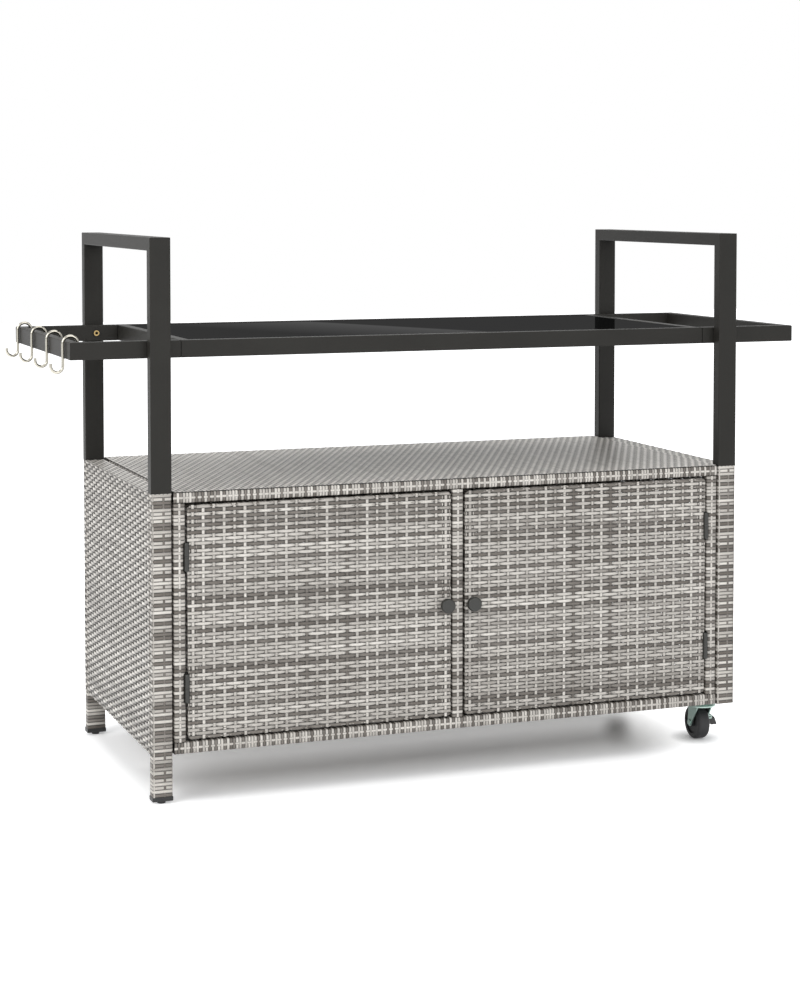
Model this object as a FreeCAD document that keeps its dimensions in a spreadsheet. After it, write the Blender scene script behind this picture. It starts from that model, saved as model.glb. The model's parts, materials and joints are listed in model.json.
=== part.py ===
"""Outdoor bar cart: a woven cabinet that stands on two legs and two casters.

Two tube uprights rise from the cabinet and carry the end frames and a glass top.
Millimetres. X runs along the front to the right, Y to the back and Z up. The origin
is on the floor under the middle of the whole cart, hooks and knobs included.
"""

import FreeCAD
import Part
import Sketcher
import math
import os
from types import SimpleNamespace

SIZES = {
    # Whole cart
    "cart_length": 1240,
    "cart_depth": 587,
    "cart_height": 1068,
    "cabinet_bottom": 91,
    "cabinet_top": 588,
    "deck_rise": 3,
    # Tube stock
    "post_width": 40,
    "post_thick": 25,
    "rail_height": 33,
    "rail_thick": 20,
    "panel_tube": 18,
    "tube_wall": 1.5,
    "tube_corner": 2,
    "tube_bore_corner": 0.6,
    # Woven skin and the gaps between panels
    "weave_thick": 2.5,
    "seam_gap": 3,
    "door_gap": 4,
    # Upper frames
    "rail_top": 874,
    "end_reach": 146,
    "frame_seam": 66,
    "frame_gap": 2,
    "vent_diameter": 6,
    # Glass and what carries it
    "glass_thick": 5,
    "glass_drop": 1,
    "glass_gap": 2,
    "glass_corner": 4,
    "glass_edge": 0.8,
    "tab_thick": 3,
    "tab_length": 24,
    "tab_reach": 18,
    "tab_spread": 400,
    "pad_thick": 1.5,
    "pad_diameter": 14,
    # Plugs and sleeves inside the tubes
    "plug_length": 35,
    "plug_gap": 0.3,
    "sleeve_clear": 10,
    "sleeve_wall": 2,
    "sleeve_screw_bite": 4,
    # Bolts
    "bolt_diameter": 6,
    "bolt_room": 0.6,
    "bolt_head": 12,
    "bolt_head_height": 4,
    "bolt_bite": 9,
    "bolt_station": 420,
    "side_bolt_spread": 300,
    "socket_width": 6,
    "socket_depth": 3,
    # Legs
    "foot_height": 5,
    "foot_diameter": 16,
    "foot_play": 0.2,
    "foot_stem": 8,
    "foot_stem_length": 26,
    "cap_height": 8,
    "cap_plug": 20,
    "running_gap": 0.05,
    # Doors
    "door_corner": 9,
    "strike_thick": 2.7,
    "strike_width": 16,
    "strike_height": 24,
    "catch_gap": 0.3,
    "catch_depth": 12,
    "catch_height": 20,
    "catch_drop": 40,
    # Hinges
    "barrel_diameter": 9.5,
    "barrel_length": 27,
    "barrel_tip": 3,
    "barrel_gap": 0.5,
    "hinge_pin": 5,
    "hinge_inset": 98,
    "leaf_depth": 12,
    "swing_gap": 0.8,
    # Knobs
    "knob_diameter": 29,
    "knob_reach": 24,
    "knob_head": 14,
    "knob_stem": 13,
    "knob_round": 4,
    "knob_inset": 12.5,
    "screw_diameter": 4,
    "screw_head": 8,
    "screw_head_height": 2.5,
    "screw_bite": 10,
    # S-hooks
    "hook_wire": 6,
    "hook_arc": 14,
    "hook_curl": 11.5,
    "hook_stem": 42,
    "hook_tip": 5,
    "hook_lift": 0.5,
    "hook_first": 68,
    "hook_last": 72,
    # Casters
    "caster_inset": 72,
    "caster_trail": 17,
    "caster_bolt_pitch": 56,
    "plate_margin": 12,
    "plate_thick": 2.5,
    "plate_corner": 6,
    "race_height": 6,
    "race_diameter": 34,
    "swivel_gap": 0.4,
    "wheel_diameter": 70,
    "wheel_width": 27,
    "wheel_round": 6,
    "wheel_room": 4,
    "wheel_recess": 3,
    "hub_diameter": 18,
    "rim_inside": 48,
    "fork_thick": 2.5,
    "fork_gap": 2,
    "fork_front": 18,
    "fork_back": 22,
    "crown_diameter": 60,
    "crown_top": 48,
    "crown_edge": 2.5,
    "axle_diameter": 8,
    "axle_head": 12,
    "axle_head_height": 2,
    "kingpin_diameter": 10,
    "kingpin_head": 16,
    "kingpin_head_height": 2.5,
    # Caster brakes
    "brake_out": 6,
    "brake_up": 10.5,
    "brake_shift": 4,
    "brake_pin": 4,
    "lever_width": 12,
    "lever_reach": 17,
    "lever_drop": 18,
    "lever_rise": 5,
    "lever_heel": 3.5,
    "lever_toe": 2.5,
    "ear_thick": 2,
    "ear_gap": 0.5,
}

OVER = 1.0
HOOK_COUNT = 4
SIDES = ("left", "right")

doc = FreeCAD.newDocument("BarCart")
sheet = doc.addObject("Spreadsheet::Sheet", "Sizes")
for row, (alias, value) in enumerate(SIZES.items(), start=1):
    sheet.set(f"A{row}", alias)
    sheet.set(f"B{row}", str(value))
    sheet.setAlias(f"B{row}", alias)
doc.recompute()


class Size:
    """A number together with the sheet expression that gives it."""

    def __init__(self, number, text):
        self.number = number
        self.text = text

    def __add__(self, other):
        other = as_size(other)
        return Size(self.number + other.number, f"({self.text} + {other.text})")

    def __radd__(self, other):
        return as_size(other) + self

    def __sub__(self, other):
        other = as_size(other)
        return Size(self.number - other.number, f"({self.text} - {other.text})")

    def __rsub__(self, other):
        return as_size(other) - self

    def __mul__(self, other):
        other = as_size(other)
        return Size(self.number * other.number, f"({self.text} * {other.text})")

    def __rmul__(self, other):
        return as_size(other) * self

    def __truediv__(self, other):
        other = as_size(other)
        return Size(self.number / other.number, f"({self.text} / {other.text})")

    def __neg__(self):
        return as_size(0) - self


def as_size(value):
    """Give a plain number the form of a Size."""
    if isinstance(value, Size):
        return value
    return Size(float(value), f"({value})")


S = SimpleNamespace(**{name: Size(float(number), f"Sizes.{name}") for name, number in SIZES.items()})

# Sizes that follow from the driving ones
HALF = S.cart_length / 2
DECK_TOP = S.cabinet_top + S.deck_rise
STRIP = S.panel_tube + 2 * S.weave_thick
LEG_WIDTH = S.post_width - 2 * S.weave_thick
LEG_THICK = S.post_thick - 2 * S.weave_thick
PANEL_EDGE = S.post_width + S.seam_gap
DOOR_EDGE = PANEL_EDGE + STRIP + S.door_gap
DOOR_THICK = STRIP - S.strike_thick - S.catch_gap
DOOR_BOTTOM = S.cabinet_bottom + STRIP + S.door_gap
DOOR_TOP = DECK_TOP - STRIP - S.door_gap
DOOR_INNER = HALF - STRIP / 2 - S.door_gap
LEG_FOOT = S.foot_height + S.cap_height
RAIL_MID = S.rail_top - S.rail_height / 2
RAIL_INSIDE = S.post_thick + S.rail_thick
RAIL_CENTRE = S.post_thick + S.rail_thick / 2
FRAME_EDGE = S.frame_seam + S.frame_gap / 2
SLEEVE_HALF = S.frame_seam - S.post_width / 2 - S.sleeve_clear
HINGE_IN = DOOR_EDGE - S.door_gap / 2
HOLE_RADIUS = (S.bolt_diameter + S.bolt_room) / 2
HOOK_OVERHANG = S.hook_arc - S.rail_thick / 2 + 2 * S.hook_curl + S.hook_wire / 2
HOOK_PITCH = (S.cart_depth - S.hook_first - S.hook_last) / (HOOK_COUNT - 1)
SHIFT_X = HOOK_OVERHANG / 2
SHIFT_Y = (S.knob_reach - S.cart_depth) / 2

nodes = []


def bind(thing, prop, size):
    """Tie one property to its sheet expression."""
    thing.setExpression(prop, as_size(size).text)


def place(thing, x, y, z):
    """Put an object at a point of the cart, counted from its centre, front and floor."""
    bind(thing, "Placement.Base.x", x + SHIFT_X)
    bind(thing, "Placement.Base.y", y + SHIFT_Y)
    bind(thing, "Placement.Base.z", z)


def node(thing, label):
    """Name a finished piece."""
    thing.Label = label
    nodes.append(thing)
    return thing


def from_side(side, inward):
    """X of a plane this far inward from the outer face of the left or right posts."""
    return inward - HALF if side == "left" else HALF - inward


def span(side, outer, inner):
    """X range between two distances inward from the outer face of the posts."""
    ends = (from_side(side, outer), from_side(side, inner))
    return ends if side == "left" else ends[::-1]


def block(x, y, z):
    """Ranges of a block along the three axes."""
    return {"x": x, "y": y, "z": z}


def grown(ranges, by, axes="xyz"):
    """A block made larger by the same amount at both ends of the given axes."""
    return {
        axis: (low - by, high + by) if axis in axes else (low, high)
        for axis, (low, high) in ranges.items()
    }


def box(name, ranges):
    """A plain block."""
    thing = doc.addObject("Part::Box", name)
    for prop, axis in (("Length", "x"), ("Width", "y"), ("Height", "z")):
        low, high = ranges[axis]
        bind(thing, prop, high - low)
    place(thing, *(as_size(ranges[axis][0]) for axis in "xyz"))
    return thing


TURNS = {
    "x": FreeCAD.Rotation(FreeCAD.Vector(0, 1, 0), 90),
    "y": FreeCAD.Rotation(FreeCAD.Vector(1, 0, 0), -90),
    "z": FreeCAD.Rotation(),
}


def rod(name, axis, start, radius, length):
    """A round rod that runs from its start point along the positive axis."""
    thing = doc.addObject("Part::Cylinder", name)
    thing.Placement.Rotation = TURNS[axis]
    bind(thing, "Radius", radius)
    bind(thing, "Height", length)
    place(thing, *(as_size(value) for value in start))
    return thing


def taper(name, start, low_radius, high_radius, length):
    """An upright cone frustum."""
    thing = doc.addObject("Part::Cone", name)
    bind(thing, "Radius1", low_radius)
    bind(thing, "Radius2", high_radius)
    bind(thing, "Height", length)
    place(thing, *(as_size(value) for value in start))
    return thing


def fuse(name, things):
    """Join pieces into one solid."""
    thing = doc.addObject("Part::MultiFuse", name)
    thing.Shapes = list(things)
    return thing


def group(name, things):
    """Keep separate solids together under one name."""
    thing = doc.addObject("Part::Compound", name)
    thing.Links = list(things)
    return thing


def cut(name, base, *tools):
    """Take the tools out of the base."""
    thing = doc.addObject("Part::Cut", name)
    thing.Base = base
    thing.Tool = tools[0] if len(tools) == 1 else group(name + "_tools", tools)
    return thing


# Sketched bodies


def new_body(name):
    body = doc.addObject("PartDesign::Body", name)
    place(body, as_size(0), as_size(0), as_size(0))
    return body


def new_sketch(body, role, x=0, y=0, z=0):
    """A sketch on one of the body's own planes, moved along the sketch's own axes."""
    sketch = body.newObject("Sketcher::SketchObject", body.Name + "_sketch")
    plane = next(feature for feature in body.Origin.OriginFeatures if feature.Role == role)
    sketch.AttachmentSupport = [(plane, "")]
    sketch.MapMode = "FlatFace"
    for axis, value in zip("xyz", (x, y, z)):
        bind(sketch, "AttachmentOffset.Base." + axis, value)
    return sketch


def dimension(sketch, size, kind, *where):
    """Add a dimension to a sketch and tie it to the sheet."""
    size = as_size(size)
    index = sketch.addConstraint(Sketcher.Constraint(kind, *where, size.number))
    name = f"size_{index}"
    sketch.renameConstraint(index, name)
    bind(sketch, "Constraints." + name, size)


def flat(x, y):
    return FreeCAD.Vector(as_size(x).number, as_size(y).number, 0)


def outline(sketch, points, closed=True):
    """Straight lines through points, each point dimensioned from the sketch's origin."""
    first = sketch.GeometryCount
    count = len(points)
    lines = count if closed else count - 1
    for i in range(lines):
        sketch.addGeometry(Part.LineSegment(flat(*points[i]), flat(*points[(i + 1) % count])), False)
    for i in range(count if closed else count - 2):
        sketch.addConstraint(
            Sketcher.Constraint("Coincident", first + i, 2, first + (i + 1) % lines, 1)
        )
    for i, (x, y) in enumerate(points):
        line, end = (first + i, 1) if i < lines else (first + lines - 1, 2)
        dimension(sketch, x, "DistanceX", -1, 1, line, end)
        dimension(sketch, y, "DistanceY", -1, 1, line, end)


def circle(sketch, x, y, radius):
    centre = flat(x, y)
    index = sketch.addGeometry(
        Part.Circle(centre, FreeCAD.Vector(0, 0, 1), as_size(radius).number), False
    )
    dimension(sketch, x, "DistanceX", -1, 1, index, 3)
    dimension(sketch, y, "DistanceY", -1, 1, index, 3)
    dimension(sketch, radius, "Radius", index)


def rounded_rectangle(sketch, width, height, corner):
    """A rectangle with round corners, centred on the sketch's origin."""
    first = sketch.GeometryCount
    radius = as_size(corner).number
    across = as_size(width).number / 2
    up = as_size(height).number / 2
    quarter = math.pi / 2
    inset_x = across - radius
    inset_y = up - radius
    runs = (
        ((-inset_x, -up), (inset_x, -up), (inset_x, -inset_y)),
        ((across, -inset_y), (across, inset_y), (inset_x, inset_y)),
        ((inset_x, up), (-inset_x, up), (-inset_x, inset_y)),
        ((-across, inset_y), (-across, -inset_y), (-inset_x, -inset_y)),
    )
    for i, (start, end, centre) in enumerate(runs):
        sketch.addGeometry(Part.LineSegment(flat(*start), flat(*end)), False)
        ring = Part.Circle(flat(*centre), FreeCAD.Vector(0, 0, 1), radius)
        sketch.addGeometry(Part.ArcOfCircle(ring, (i - 1) * quarter, i * quarter), False)
    for i in range(4):
        line = first + 2 * i
        following = first + (2 * i + 2) % 8
        sketch.addConstraint(Sketcher.Constraint("Tangent", line, 2, line + 1, 1))
        sketch.addConstraint(Sketcher.Constraint("Tangent", line + 1, 2, following, 1))
    sketch.addConstraint(Sketcher.Constraint("Horizontal", first))
    sketch.addConstraint(Sketcher.Constraint("Vertical", first + 2))
    for i in range(1, 4):
        sketch.addConstraint(Sketcher.Constraint("Equal", first + 1, first + 1 + 2 * i))
    sketch.addConstraint(Sketcher.Constraint("Symmetric", first + 1, 3, first + 5, 3, -1, 1))
    dimension(sketch, corner, "Radius", first + 1)
    dimension(sketch, width, "DistanceX", first + 6, 1, first + 2, 1)
    dimension(sketch, height, "DistanceY", first, 1, first + 4, 1)


def pad(body, sketch, length, backwards=False):
    feature = body.newObject("PartDesign::Pad", body.Name + "_pad")
    feature.Profile = sketch
    feature.Reversed = backwards
    bind(feature, "Length", length)
    return feature


def revolve(body, sketch):
    """Turn a sketch about its own upright axis."""
    feature = body.newObject("PartDesign::Revolution", body.Name + "_turned")
    feature.Profile = sketch
    feature.ReferenceAxis = (sketch, ["V_Axis"])
    feature.Angle = 360
    return feature


def round_edges(body, radius, wanted):
    """Round the edges of a body that the test picks out."""
    doc.recompute()
    base = body.Tip
    names = [f"Edge{i}" for i, edge in enumerate(base.Shape.Edges, start=1) if wanted(edge)]
    feature = body.newObject("PartDesign::Fillet", body.Name + "_round")
    feature.Base = (base, names)
    bind(feature, "Radius", radius)
    return feature


def slab(name, role, centre, start, width, height, corner, length, backwards=False):
    """A plate with round corners, drawn on one plane and given its thickness."""
    body = new_body(name)
    sketch = new_sketch(body, role, *centre, start)
    rounded_rectangle(sketch, width, height, corner)
    pad(body, sketch, length, backwards)
    return body


def tube_section(sketch, width, height):
    """Section of a welded steel tube: its outside and its bore."""
    rounded_rectangle(sketch, width, height, S.tube_corner)
    bore = 2 * S.tube_wall
    rounded_rectangle(sketch, width - bore, height - bore, S.tube_bore_corner)


def pipe(body, section, path):
    """Run a section along a path with mitred corners."""
    feature = body.newObject("PartDesign::AdditivePipe", body.Name + "_pipe")
    feature.Profile = section
    feature.Spine = path
    feature.Transition = "Right corner"
    return feature


# Fasteners

panel_holes = []
panel_bolts = []
caster_holes = []
caster_bolts = []
post_holes = []
post_bolts = []
sleeve_holes = []
sleeve_screws = []


def bolt(name, axis, sign, seat, length):
    """A socket-head bolt whose head stands on its seat; it points along sign times axis."""
    index = "xyz".index(axis)

    def stretch(label, begin, end, radius):
        low, high = (begin, end) if sign > 0 else (-end, -begin)
        start = [as_size(value) for value in seat]
        start[index] = start[index] + low
        return rod(f"{name}_{label}", axis, start, radius, high - low)

    head = stretch("head", -S.bolt_head_height, as_size(0), S.bolt_head / 2)
    shank = stretch("shank", as_size(0), length, S.bolt_diameter / 2)
    socket = stretch("socket", -S.bolt_head_height - OVER, S.socket_depth - S.bolt_head_height,
                     S.socket_width / 2)
    hole = stretch("hole", -as_size(OVER), length + OVER, HOLE_RADIUS)
    return cut(name, fuse(name + "_blank", (head, shank)), socket), hole


def add_panel_bolts():
    """Bolts through the deck and bottom frames into the four upright panels."""
    reach = STRIP + S.seam_gap + S.weave_thick + S.bolt_bite
    levels = {
        "deck": DECK_TOP - S.weave_thick - S.panel_tube / 2,
        "bottom": S.cabinet_bottom + S.weave_thick + S.panel_tube / 2,
    }
    near = 2 * STRIP + S.seam_gap
    middle = S.cart_depth / 2
    for panel, z in levels.items():
        for tag, x in (("a", -S.bolt_station), ("b", S.bolt_station)):
            ends = (("front", -1, near), ("back", 1, S.cart_depth - near))
            for end, sign, y in ends:
                made = bolt(f"{panel}_{end}_bolt_{tag}", "y", sign, (x, y, z), reach)
                panel_bolts.append(made[0])
                panel_holes.append(made[1])
        for tag, y in (("a", middle - S.side_bolt_spread / 2), ("b", middle + S.side_bolt_spread / 2)):
            for side in SIDES:
                sign = -1 if side == "left" else 1
                x = from_side(side, PANEL_EDGE + STRIP)
                made = bolt(f"{panel}_{side}_bolt_{tag}", "x", sign, (x, y, z), reach)
                panel_bolts.append(made[0])
                panel_holes.append(made[1])


def add_post_bolts():
    """Bolts from inside each end frame into the uprights."""
    length = S.rail_thick + S.bolt_bite
    for side in SIDES:
        x = from_side(side, S.post_width / 2)
        for end, sign, y in (("front", -1, RAIL_INSIDE), ("back", 1, S.cart_depth - RAIL_INSIDE)):
            made = bolt(f"{side}_{end}_post_bolt", "y", sign, (x, y, RAIL_MID), length)
            post_bolts.append(made[0])
            post_holes.append(made[1])


def add_sleeve_screws():
    """Set screws from below, flush with the rails, that hold them on the sleeves inside."""
    low = S.rail_top - S.rail_height
    length = S.tube_wall + S.plug_gap + S.sleeve_wall + S.sleeve_screw_bite
    for side in SIDES:
        for end, y in (("front", RAIL_CENTRE), ("back", S.cart_depth - RAIL_CENTRE)):
            for tag, shift in (("a", -SLEEVE_HALF / 2), ("b", SLEEVE_HALF / 2)):
                name = f"{side}_{end}_sleeve_screw_{tag}"
                x = from_side(side, S.frame_seam + shift)
                sleeve_screws.append(rod(name, "z", (x, y, low), S.screw_diameter / 2, length))
                sleeve_holes.append(rod(name + "_hole", "z", (x, y, low - OVER), S.screw_diameter / 2,
                                        length + 2 * OVER))


CASTER_IN = (S.post_width / 2 + PANEL_EDGE + STRIP / 2) / 2
CASTER_X = from_side("right", CASTER_IN)
CASTER_SPREAD = PANEL_EDGE + STRIP / 2 - S.post_width / 2
CASTER_Y = {"front": S.caster_inset, "rear": S.cart_depth - S.caster_inset}
PLATE_LOW = S.cabinet_bottom - S.plate_thick


def add_caster_bolts():
    """Four bolts per caster, up into the side frame and the bottom frame."""
    length = S.plate_thick + S.weave_thick + S.bolt_bite
    for end, y in CASTER_Y.items():
        for tag, across in (("a", -1), ("b", 1)):
            for turn, along in (("c", -1), ("d", 1)):
                seat = (
                    CASTER_X + across * CASTER_SPREAD / 2,
                    y + along * S.caster_bolt_pitch / 2,
                    PLATE_LOW,
                )
                made = bolt(f"{end}_caster_bolt_{tag}{turn}", "z", 1, seat, length)
                caster_bolts.append(made[0])
                caster_holes.append(made[1])


add_panel_bolts()
add_post_bolts()
add_caster_bolts()
add_sleeve_screws()
panel_drill = group("panel_drill", panel_holes)
caster_drill = group("caster_drill", caster_holes)
post_drill = group("post_drill", post_holes)
sleeve_drill = group("sleeve_drill", sleeve_holes)
node(group("panel_bolt_set", panel_bolts), "panel_bolts")
node(group("caster_bolt_set", caster_bolts), "caster_bolts")
node(group("post_bolt_set", post_bolts), "post_bolts")
node(group("sleeve_screw_set", sleeve_screws), "sleeve_screws")


# Welded panel frames and their woven skins


def with_bays(name, ranges, bays):
    """A flat frame: a block with its open bays cut through."""
    return cut(name, box(name + "_block", ranges), *(box(f"{name}_bay{i}", bay) for i, bay in enumerate(bays)))


def welded_frame(name, ranges, bays, flat_axes, bore_axes, *drills):
    """A frame of square tube: the solid outline, and the hollow frame with its holes."""
    solid = with_bays(name + "_solid", ranges, bays)
    bore_block = grown(grown(ranges, -S.tube_wall, bore_axes), OVER, set("xyz") - set(bore_axes))
    bore = with_bays(name + "_bore", bore_block, [grown(bay, S.tube_wall, flat_axes) for bay in bays])
    return solid, cut(name + "_hollow", solid, bore, *drills)


hinge_room = {}


def hinge_levels():
    return {"lower": DOOR_BOTTOM + S.hinge_inset, "upper": DOOR_TOP - S.hinge_inset}


def make_hinge_room():
    """Round clearance about each hinge, for the stile and the door edge."""
    half = S.barrel_length + S.barrel_gap / 2 + S.swing_gap
    for side in SIDES:
        x = from_side(side, HINGE_IN)
        hinge_room[side] = group(
            side + "_hinge_room",
            [
                rod(f"{side}_{level}_hinge_room", "z", (x, 0, z - half),
                    S.barrel_diameter / 2 + S.swing_gap, 2 * half)
                for level, z in hinge_levels().items()
            ],
        )


def leaf_block(side, level, leaf):
    """The flat weld-on leaf of one hinge half."""
    low = hinge_levels()[level]
    if leaf == "frame":
        x = span(side, PANEL_EDGE + STRIP - S.weave_thick, PANEL_EDGE + STRIP)
        z = (low - S.barrel_length - S.barrel_gap / 2, low - S.barrel_gap / 2)
    else:
        x = span(side, DOOR_EDGE, DOOR_EDGE + S.weave_thick)
        z = (low + S.barrel_gap / 2, low + S.barrel_length + S.barrel_gap / 2)
    return block(x, (as_size(0), S.leaf_depth), z)


def leaves(side, leaf, use):
    return [box(f"{side}_{level}_{leaf}_{use}", leaf_block(side, level, leaf)) for level in hinge_levels()]


make_hinge_room()


def side_panel(side):
    """A side frame of flat tube with a front and a back leg, and its woven skin."""
    skin = S.weave_thick
    foot = LEG_FOOT if side == "left" else S.cabinet_bottom
    ranges = block(
        span(side, skin, S.post_width - skin),
        (skin, S.cart_depth - skin),
        (foot, S.cabinet_top),
    )
    between = (skin + LEG_THICK, S.cart_depth - skin - LEG_THICK)
    through = span(side, skin - OVER, S.post_width - skin + OVER)
    low = S.cabinet_bottom + skin
    high = S.cabinet_top - skin
    bays = [
        block(through, between, (low + LEG_THICK, high - LEG_THICK)),
        block(through, between, (foot - OVER, low)),
        block(through, between, (high, S.cabinet_top + OVER)),
    ]
    name = side + "_side"
    solid, hollow = welded_frame(name, ranges, bays, "yz", "xy", panel_drill, caster_drill)
    node(hollow, name + "_frame")
    wide = span(side, as_size(0), S.post_width)
    deep = (as_size(0), S.cart_depth)
    wraps = [
        box(name + "_front_wrap", block(wide, (as_size(0), S.post_thick), (foot, S.cabinet_top))),
        box(name + "_back_wrap",
            block(wide, (S.cart_depth - S.post_thick, S.cart_depth), (foot, S.cabinet_top))),
        box(name + "_top_wrap", block(wide, deep, (S.cabinet_top - S.post_thick, S.cabinet_top))),
        box(name + "_low_wrap",
            block(wide, deep, (S.cabinet_bottom, S.cabinet_bottom + S.post_thick))),
        box(name + "_sheet",
            block(span(side, as_size(0), skin), deep, (S.cabinet_bottom, S.cabinet_top))),
    ]
    jacket = fuse(name + "_jacket", wraps)
    node(cut(name + "_skin", jacket, solid, panel_drill, caster_drill), name + "_weave")


def bay_row(x_low, x_high, count, tube):
    """X ranges of equal bays between the end tubes of a long frame."""
    pitch = (x_high - x_low - tube) / count
    return [(x_low + tube + i * pitch, x_low + (i + 1) * pitch) for i in range(count)]


def woven_frame(name, ranges, thin, bay_count, sheet_ranges, *drills):
    """A long frame with bays side by side, wrapped in weave, with a woven sheet where it has one."""
    skin = S.weave_thick
    tall = "z" if thin == "y" else "y"

    def bays(outer, tube):
        low, high = outer[tall]
        rows = []
        for x in bay_row(*outer["x"], bay_count, tube):
            rows.append({"x": x, tall: (low + tube, high - tube), thin: grown(outer, OVER)[thin]})
        return rows

    tube_block = grown(ranges, -skin)
    solid, hollow = welded_frame(name, tube_block, bays(tube_block, S.panel_tube), "x" + tall, "xyz", *drills)
    wrap = with_bays(name + "_wrap", ranges, bays(ranges, STRIP))
    if sheet_ranges:
        wrap = fuse(name + "_jacket", (wrap, box(name + "_sheet", sheet_ranges)))
    return hollow, cut(name + "_skin", wrap, solid, *drills)


def long_panels():
    """Front, back, bottom and deck, each a welded frame with its woven skin."""
    skin = S.weave_thick
    x = (PANEL_EDGE - HALF, HALF - PANEL_EDGE)
    upright = (S.cabinet_bottom, DECK_TOP)
    inside = (STRIP + S.seam_gap, S.cart_depth - STRIP - S.seam_gap)
    lid = block(x, (as_size(0), S.cart_depth), (DECK_TOP - skin, DECK_TOP))
    lid_room = box("lid_room", lid)
    recess = [box_ for side in SIDES for box_ in leaves(side, "frame", "recess")]
    notches = [hinge_room[side] for side in SIDES]

    front = block(x, (as_size(0), STRIP), upright)
    frame, wrap = woven_frame("front", front, "y", 2, None, panel_drill, *notches)
    node(frame, "front_frame")
    node(cut("front_trim", wrap, lid_room, *recess), "front_weave")

    back = block(x, (S.cart_depth - STRIP, S.cart_depth), upright)
    sheet_back = block(x, (S.cart_depth - skin, S.cart_depth), upright)
    frame, wrap = woven_frame("back", back, "y", 2, sheet_back, panel_drill)
    node(frame, "back_frame")
    node(cut("back_trim", wrap, lid_room), "back_weave")

    low = (S.cabinet_bottom, S.cabinet_bottom + STRIP)
    bottom = block(x, inside, low)
    sheet_low = block(x, inside, (low[1] - skin, low[1]))
    frame, wrap = woven_frame("bottom", bottom, "z", 2, sheet_low, panel_drill, caster_drill)
    node(frame, "bottom_frame")
    node(wrap, "bottom_weave")

    deck = block(x, inside, (DECK_TOP - STRIP, DECK_TOP))
    frame, wrap = woven_frame("deck", deck, "z", 3, lid, panel_drill)
    node(frame, "deck_frame")
    node(wrap, "deck_weave")


for side in SIDES:
    side_panel(side)
long_panels()


# Uprights and upper frames


def upright(side):
    """An upside-down U of flat tube that stands on the two legs of one side."""
    body = new_body(side + "_post")
    x = from_side(side, S.post_width / 2)
    front = S.post_thick / 2
    back = S.cart_depth - front
    top = S.cart_height - front
    path = new_sketch(body, "YZ_Plane", z=x)
    outline(path, [(front, S.cabinet_top), (front, top), (back, top), (back, S.cabinet_top)], closed=False)
    section = new_sketch(body, "XY_Plane", x, front, S.cabinet_top)
    tube_section(section, S.post_width, S.post_thick)
    pipe(body, section, path)
    node(cut(side + "_post_drilled", body, post_drill), side + "_upright")


def end_frame(side):
    """A U of rail tube that reaches past the uprights."""
    body = new_body(side + "_end")
    seam = from_side(side, S.frame_seam - S.frame_gap / 2)
    end = from_side(side, S.rail_thick / 2 - S.end_reach)
    front = RAIL_CENTRE
    back = S.cart_depth - RAIL_CENTRE
    path = new_sketch(body, "XY_Plane", z=RAIL_MID)
    outline(path, [(seam, front), (end, front), (end, back), (seam, back)], closed=False)
    section = new_sketch(body, "YZ_Plane", front, RAIL_MID, seam)
    tube_section(section, S.rail_thick, S.rail_height)
    pipe(body, section, path)
    node(cut(side + "_end_drilled", body, post_drill, sleeve_drill), side + "_end_frame")


def tab_places():
    """Where the glass is carried: three tabs on each long rail and one on each crossbar."""
    front = RAIL_INSIDE
    back = S.cart_depth - RAIL_INSIDE
    end = HALF - FRAME_EDGE - S.rail_thick
    half = S.tab_length / 2
    places = []
    for x in (-S.tab_spread, as_size(0), S.tab_spread):
        along = (x - half, x + half)
        places.append((along, (front, front + S.tab_reach)))
        places.append((along, (back - S.tab_reach, back)))
    middle = (S.cart_depth / 2 - half, S.cart_depth / 2 + half)
    places.append(((-end, S.tab_reach - end), middle))
    places.append(((end - S.tab_reach, end), middle))
    return places


GLASS_LOW = S.rail_top - S.glass_drop - S.glass_thick
TAB_TOP = GLASS_LOW - S.pad_thick


def top_frame():
    """Two long rails, two crossbars and the glass tabs, welded into one frame."""
    start = FRAME_EDGE - HALF
    pieces = []
    for end, y in (("front", RAIL_CENTRE), ("back", S.cart_depth - RAIL_CENTRE)):
        body = new_body(end + "_long_rail")
        section = new_sketch(body, "YZ_Plane", y, RAIL_MID, start)
        tube_section(section, S.rail_thick, S.rail_height)
        pad(body, section, -2 * start)
        pieces.append(body)
    vents = []
    for side in SIDES:
        x = from_side(side, FRAME_EDGE + S.rail_thick / 2)
        body = new_body(side + "_crossbar")
        section = new_sketch(body, "XZ_Plane", x, RAIL_MID, -RAIL_INSIDE)
        tube_section(section, S.rail_thick, S.rail_height)
        pad(body, section, S.cart_depth - 2 * RAIL_INSIDE, backwards=True)
        pieces.append(body)
        low = S.rail_top - S.rail_height - OVER
        vents.append(rod(side + "_vent", "z", (x, S.cart_depth / 2, low), S.vent_diameter / 2,
                         S.tube_wall + 2 * OVER))
    for i, (x, y) in enumerate(tab_places()):
        pieces.append(box(f"glass_tab{i}", block(x, y, (TAB_TOP - S.tab_thick, TAB_TOP))))
    node(cut("top_welded", fuse("top_joined", pieces), *vents, sleeve_drill), "top_frame")


def glass_and_pads():
    width = 2 * (HALF - FRAME_EDGE - S.rail_thick - S.glass_gap)
    depth = S.cart_depth - 2 * (RAIL_INSIDE + S.glass_gap)
    body = slab("glass", "XY_Plane", (as_size(0), S.cart_depth / 2), GLASS_LOW, width, depth,
                S.glass_corner, S.glass_thick)
    round_edges(body, S.glass_edge, lambda edge: edge.BoundBox.ZLength < S.glass_thick.number / 2)
    node(body, "glass_top")
    pads = []
    for i, ((x_low, x_high), (y_low, y_high)) in enumerate(tab_places()):
        middle = ((x_low + x_high) / 2, (y_low + y_high) / 2, TAB_TOP)
        pads.append(rod(f"glass_pad{i}", "z", middle, S.pad_diameter / 2, S.pad_thick))
    node(group("glass_pad_set", pads), "glass_pads")


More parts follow.
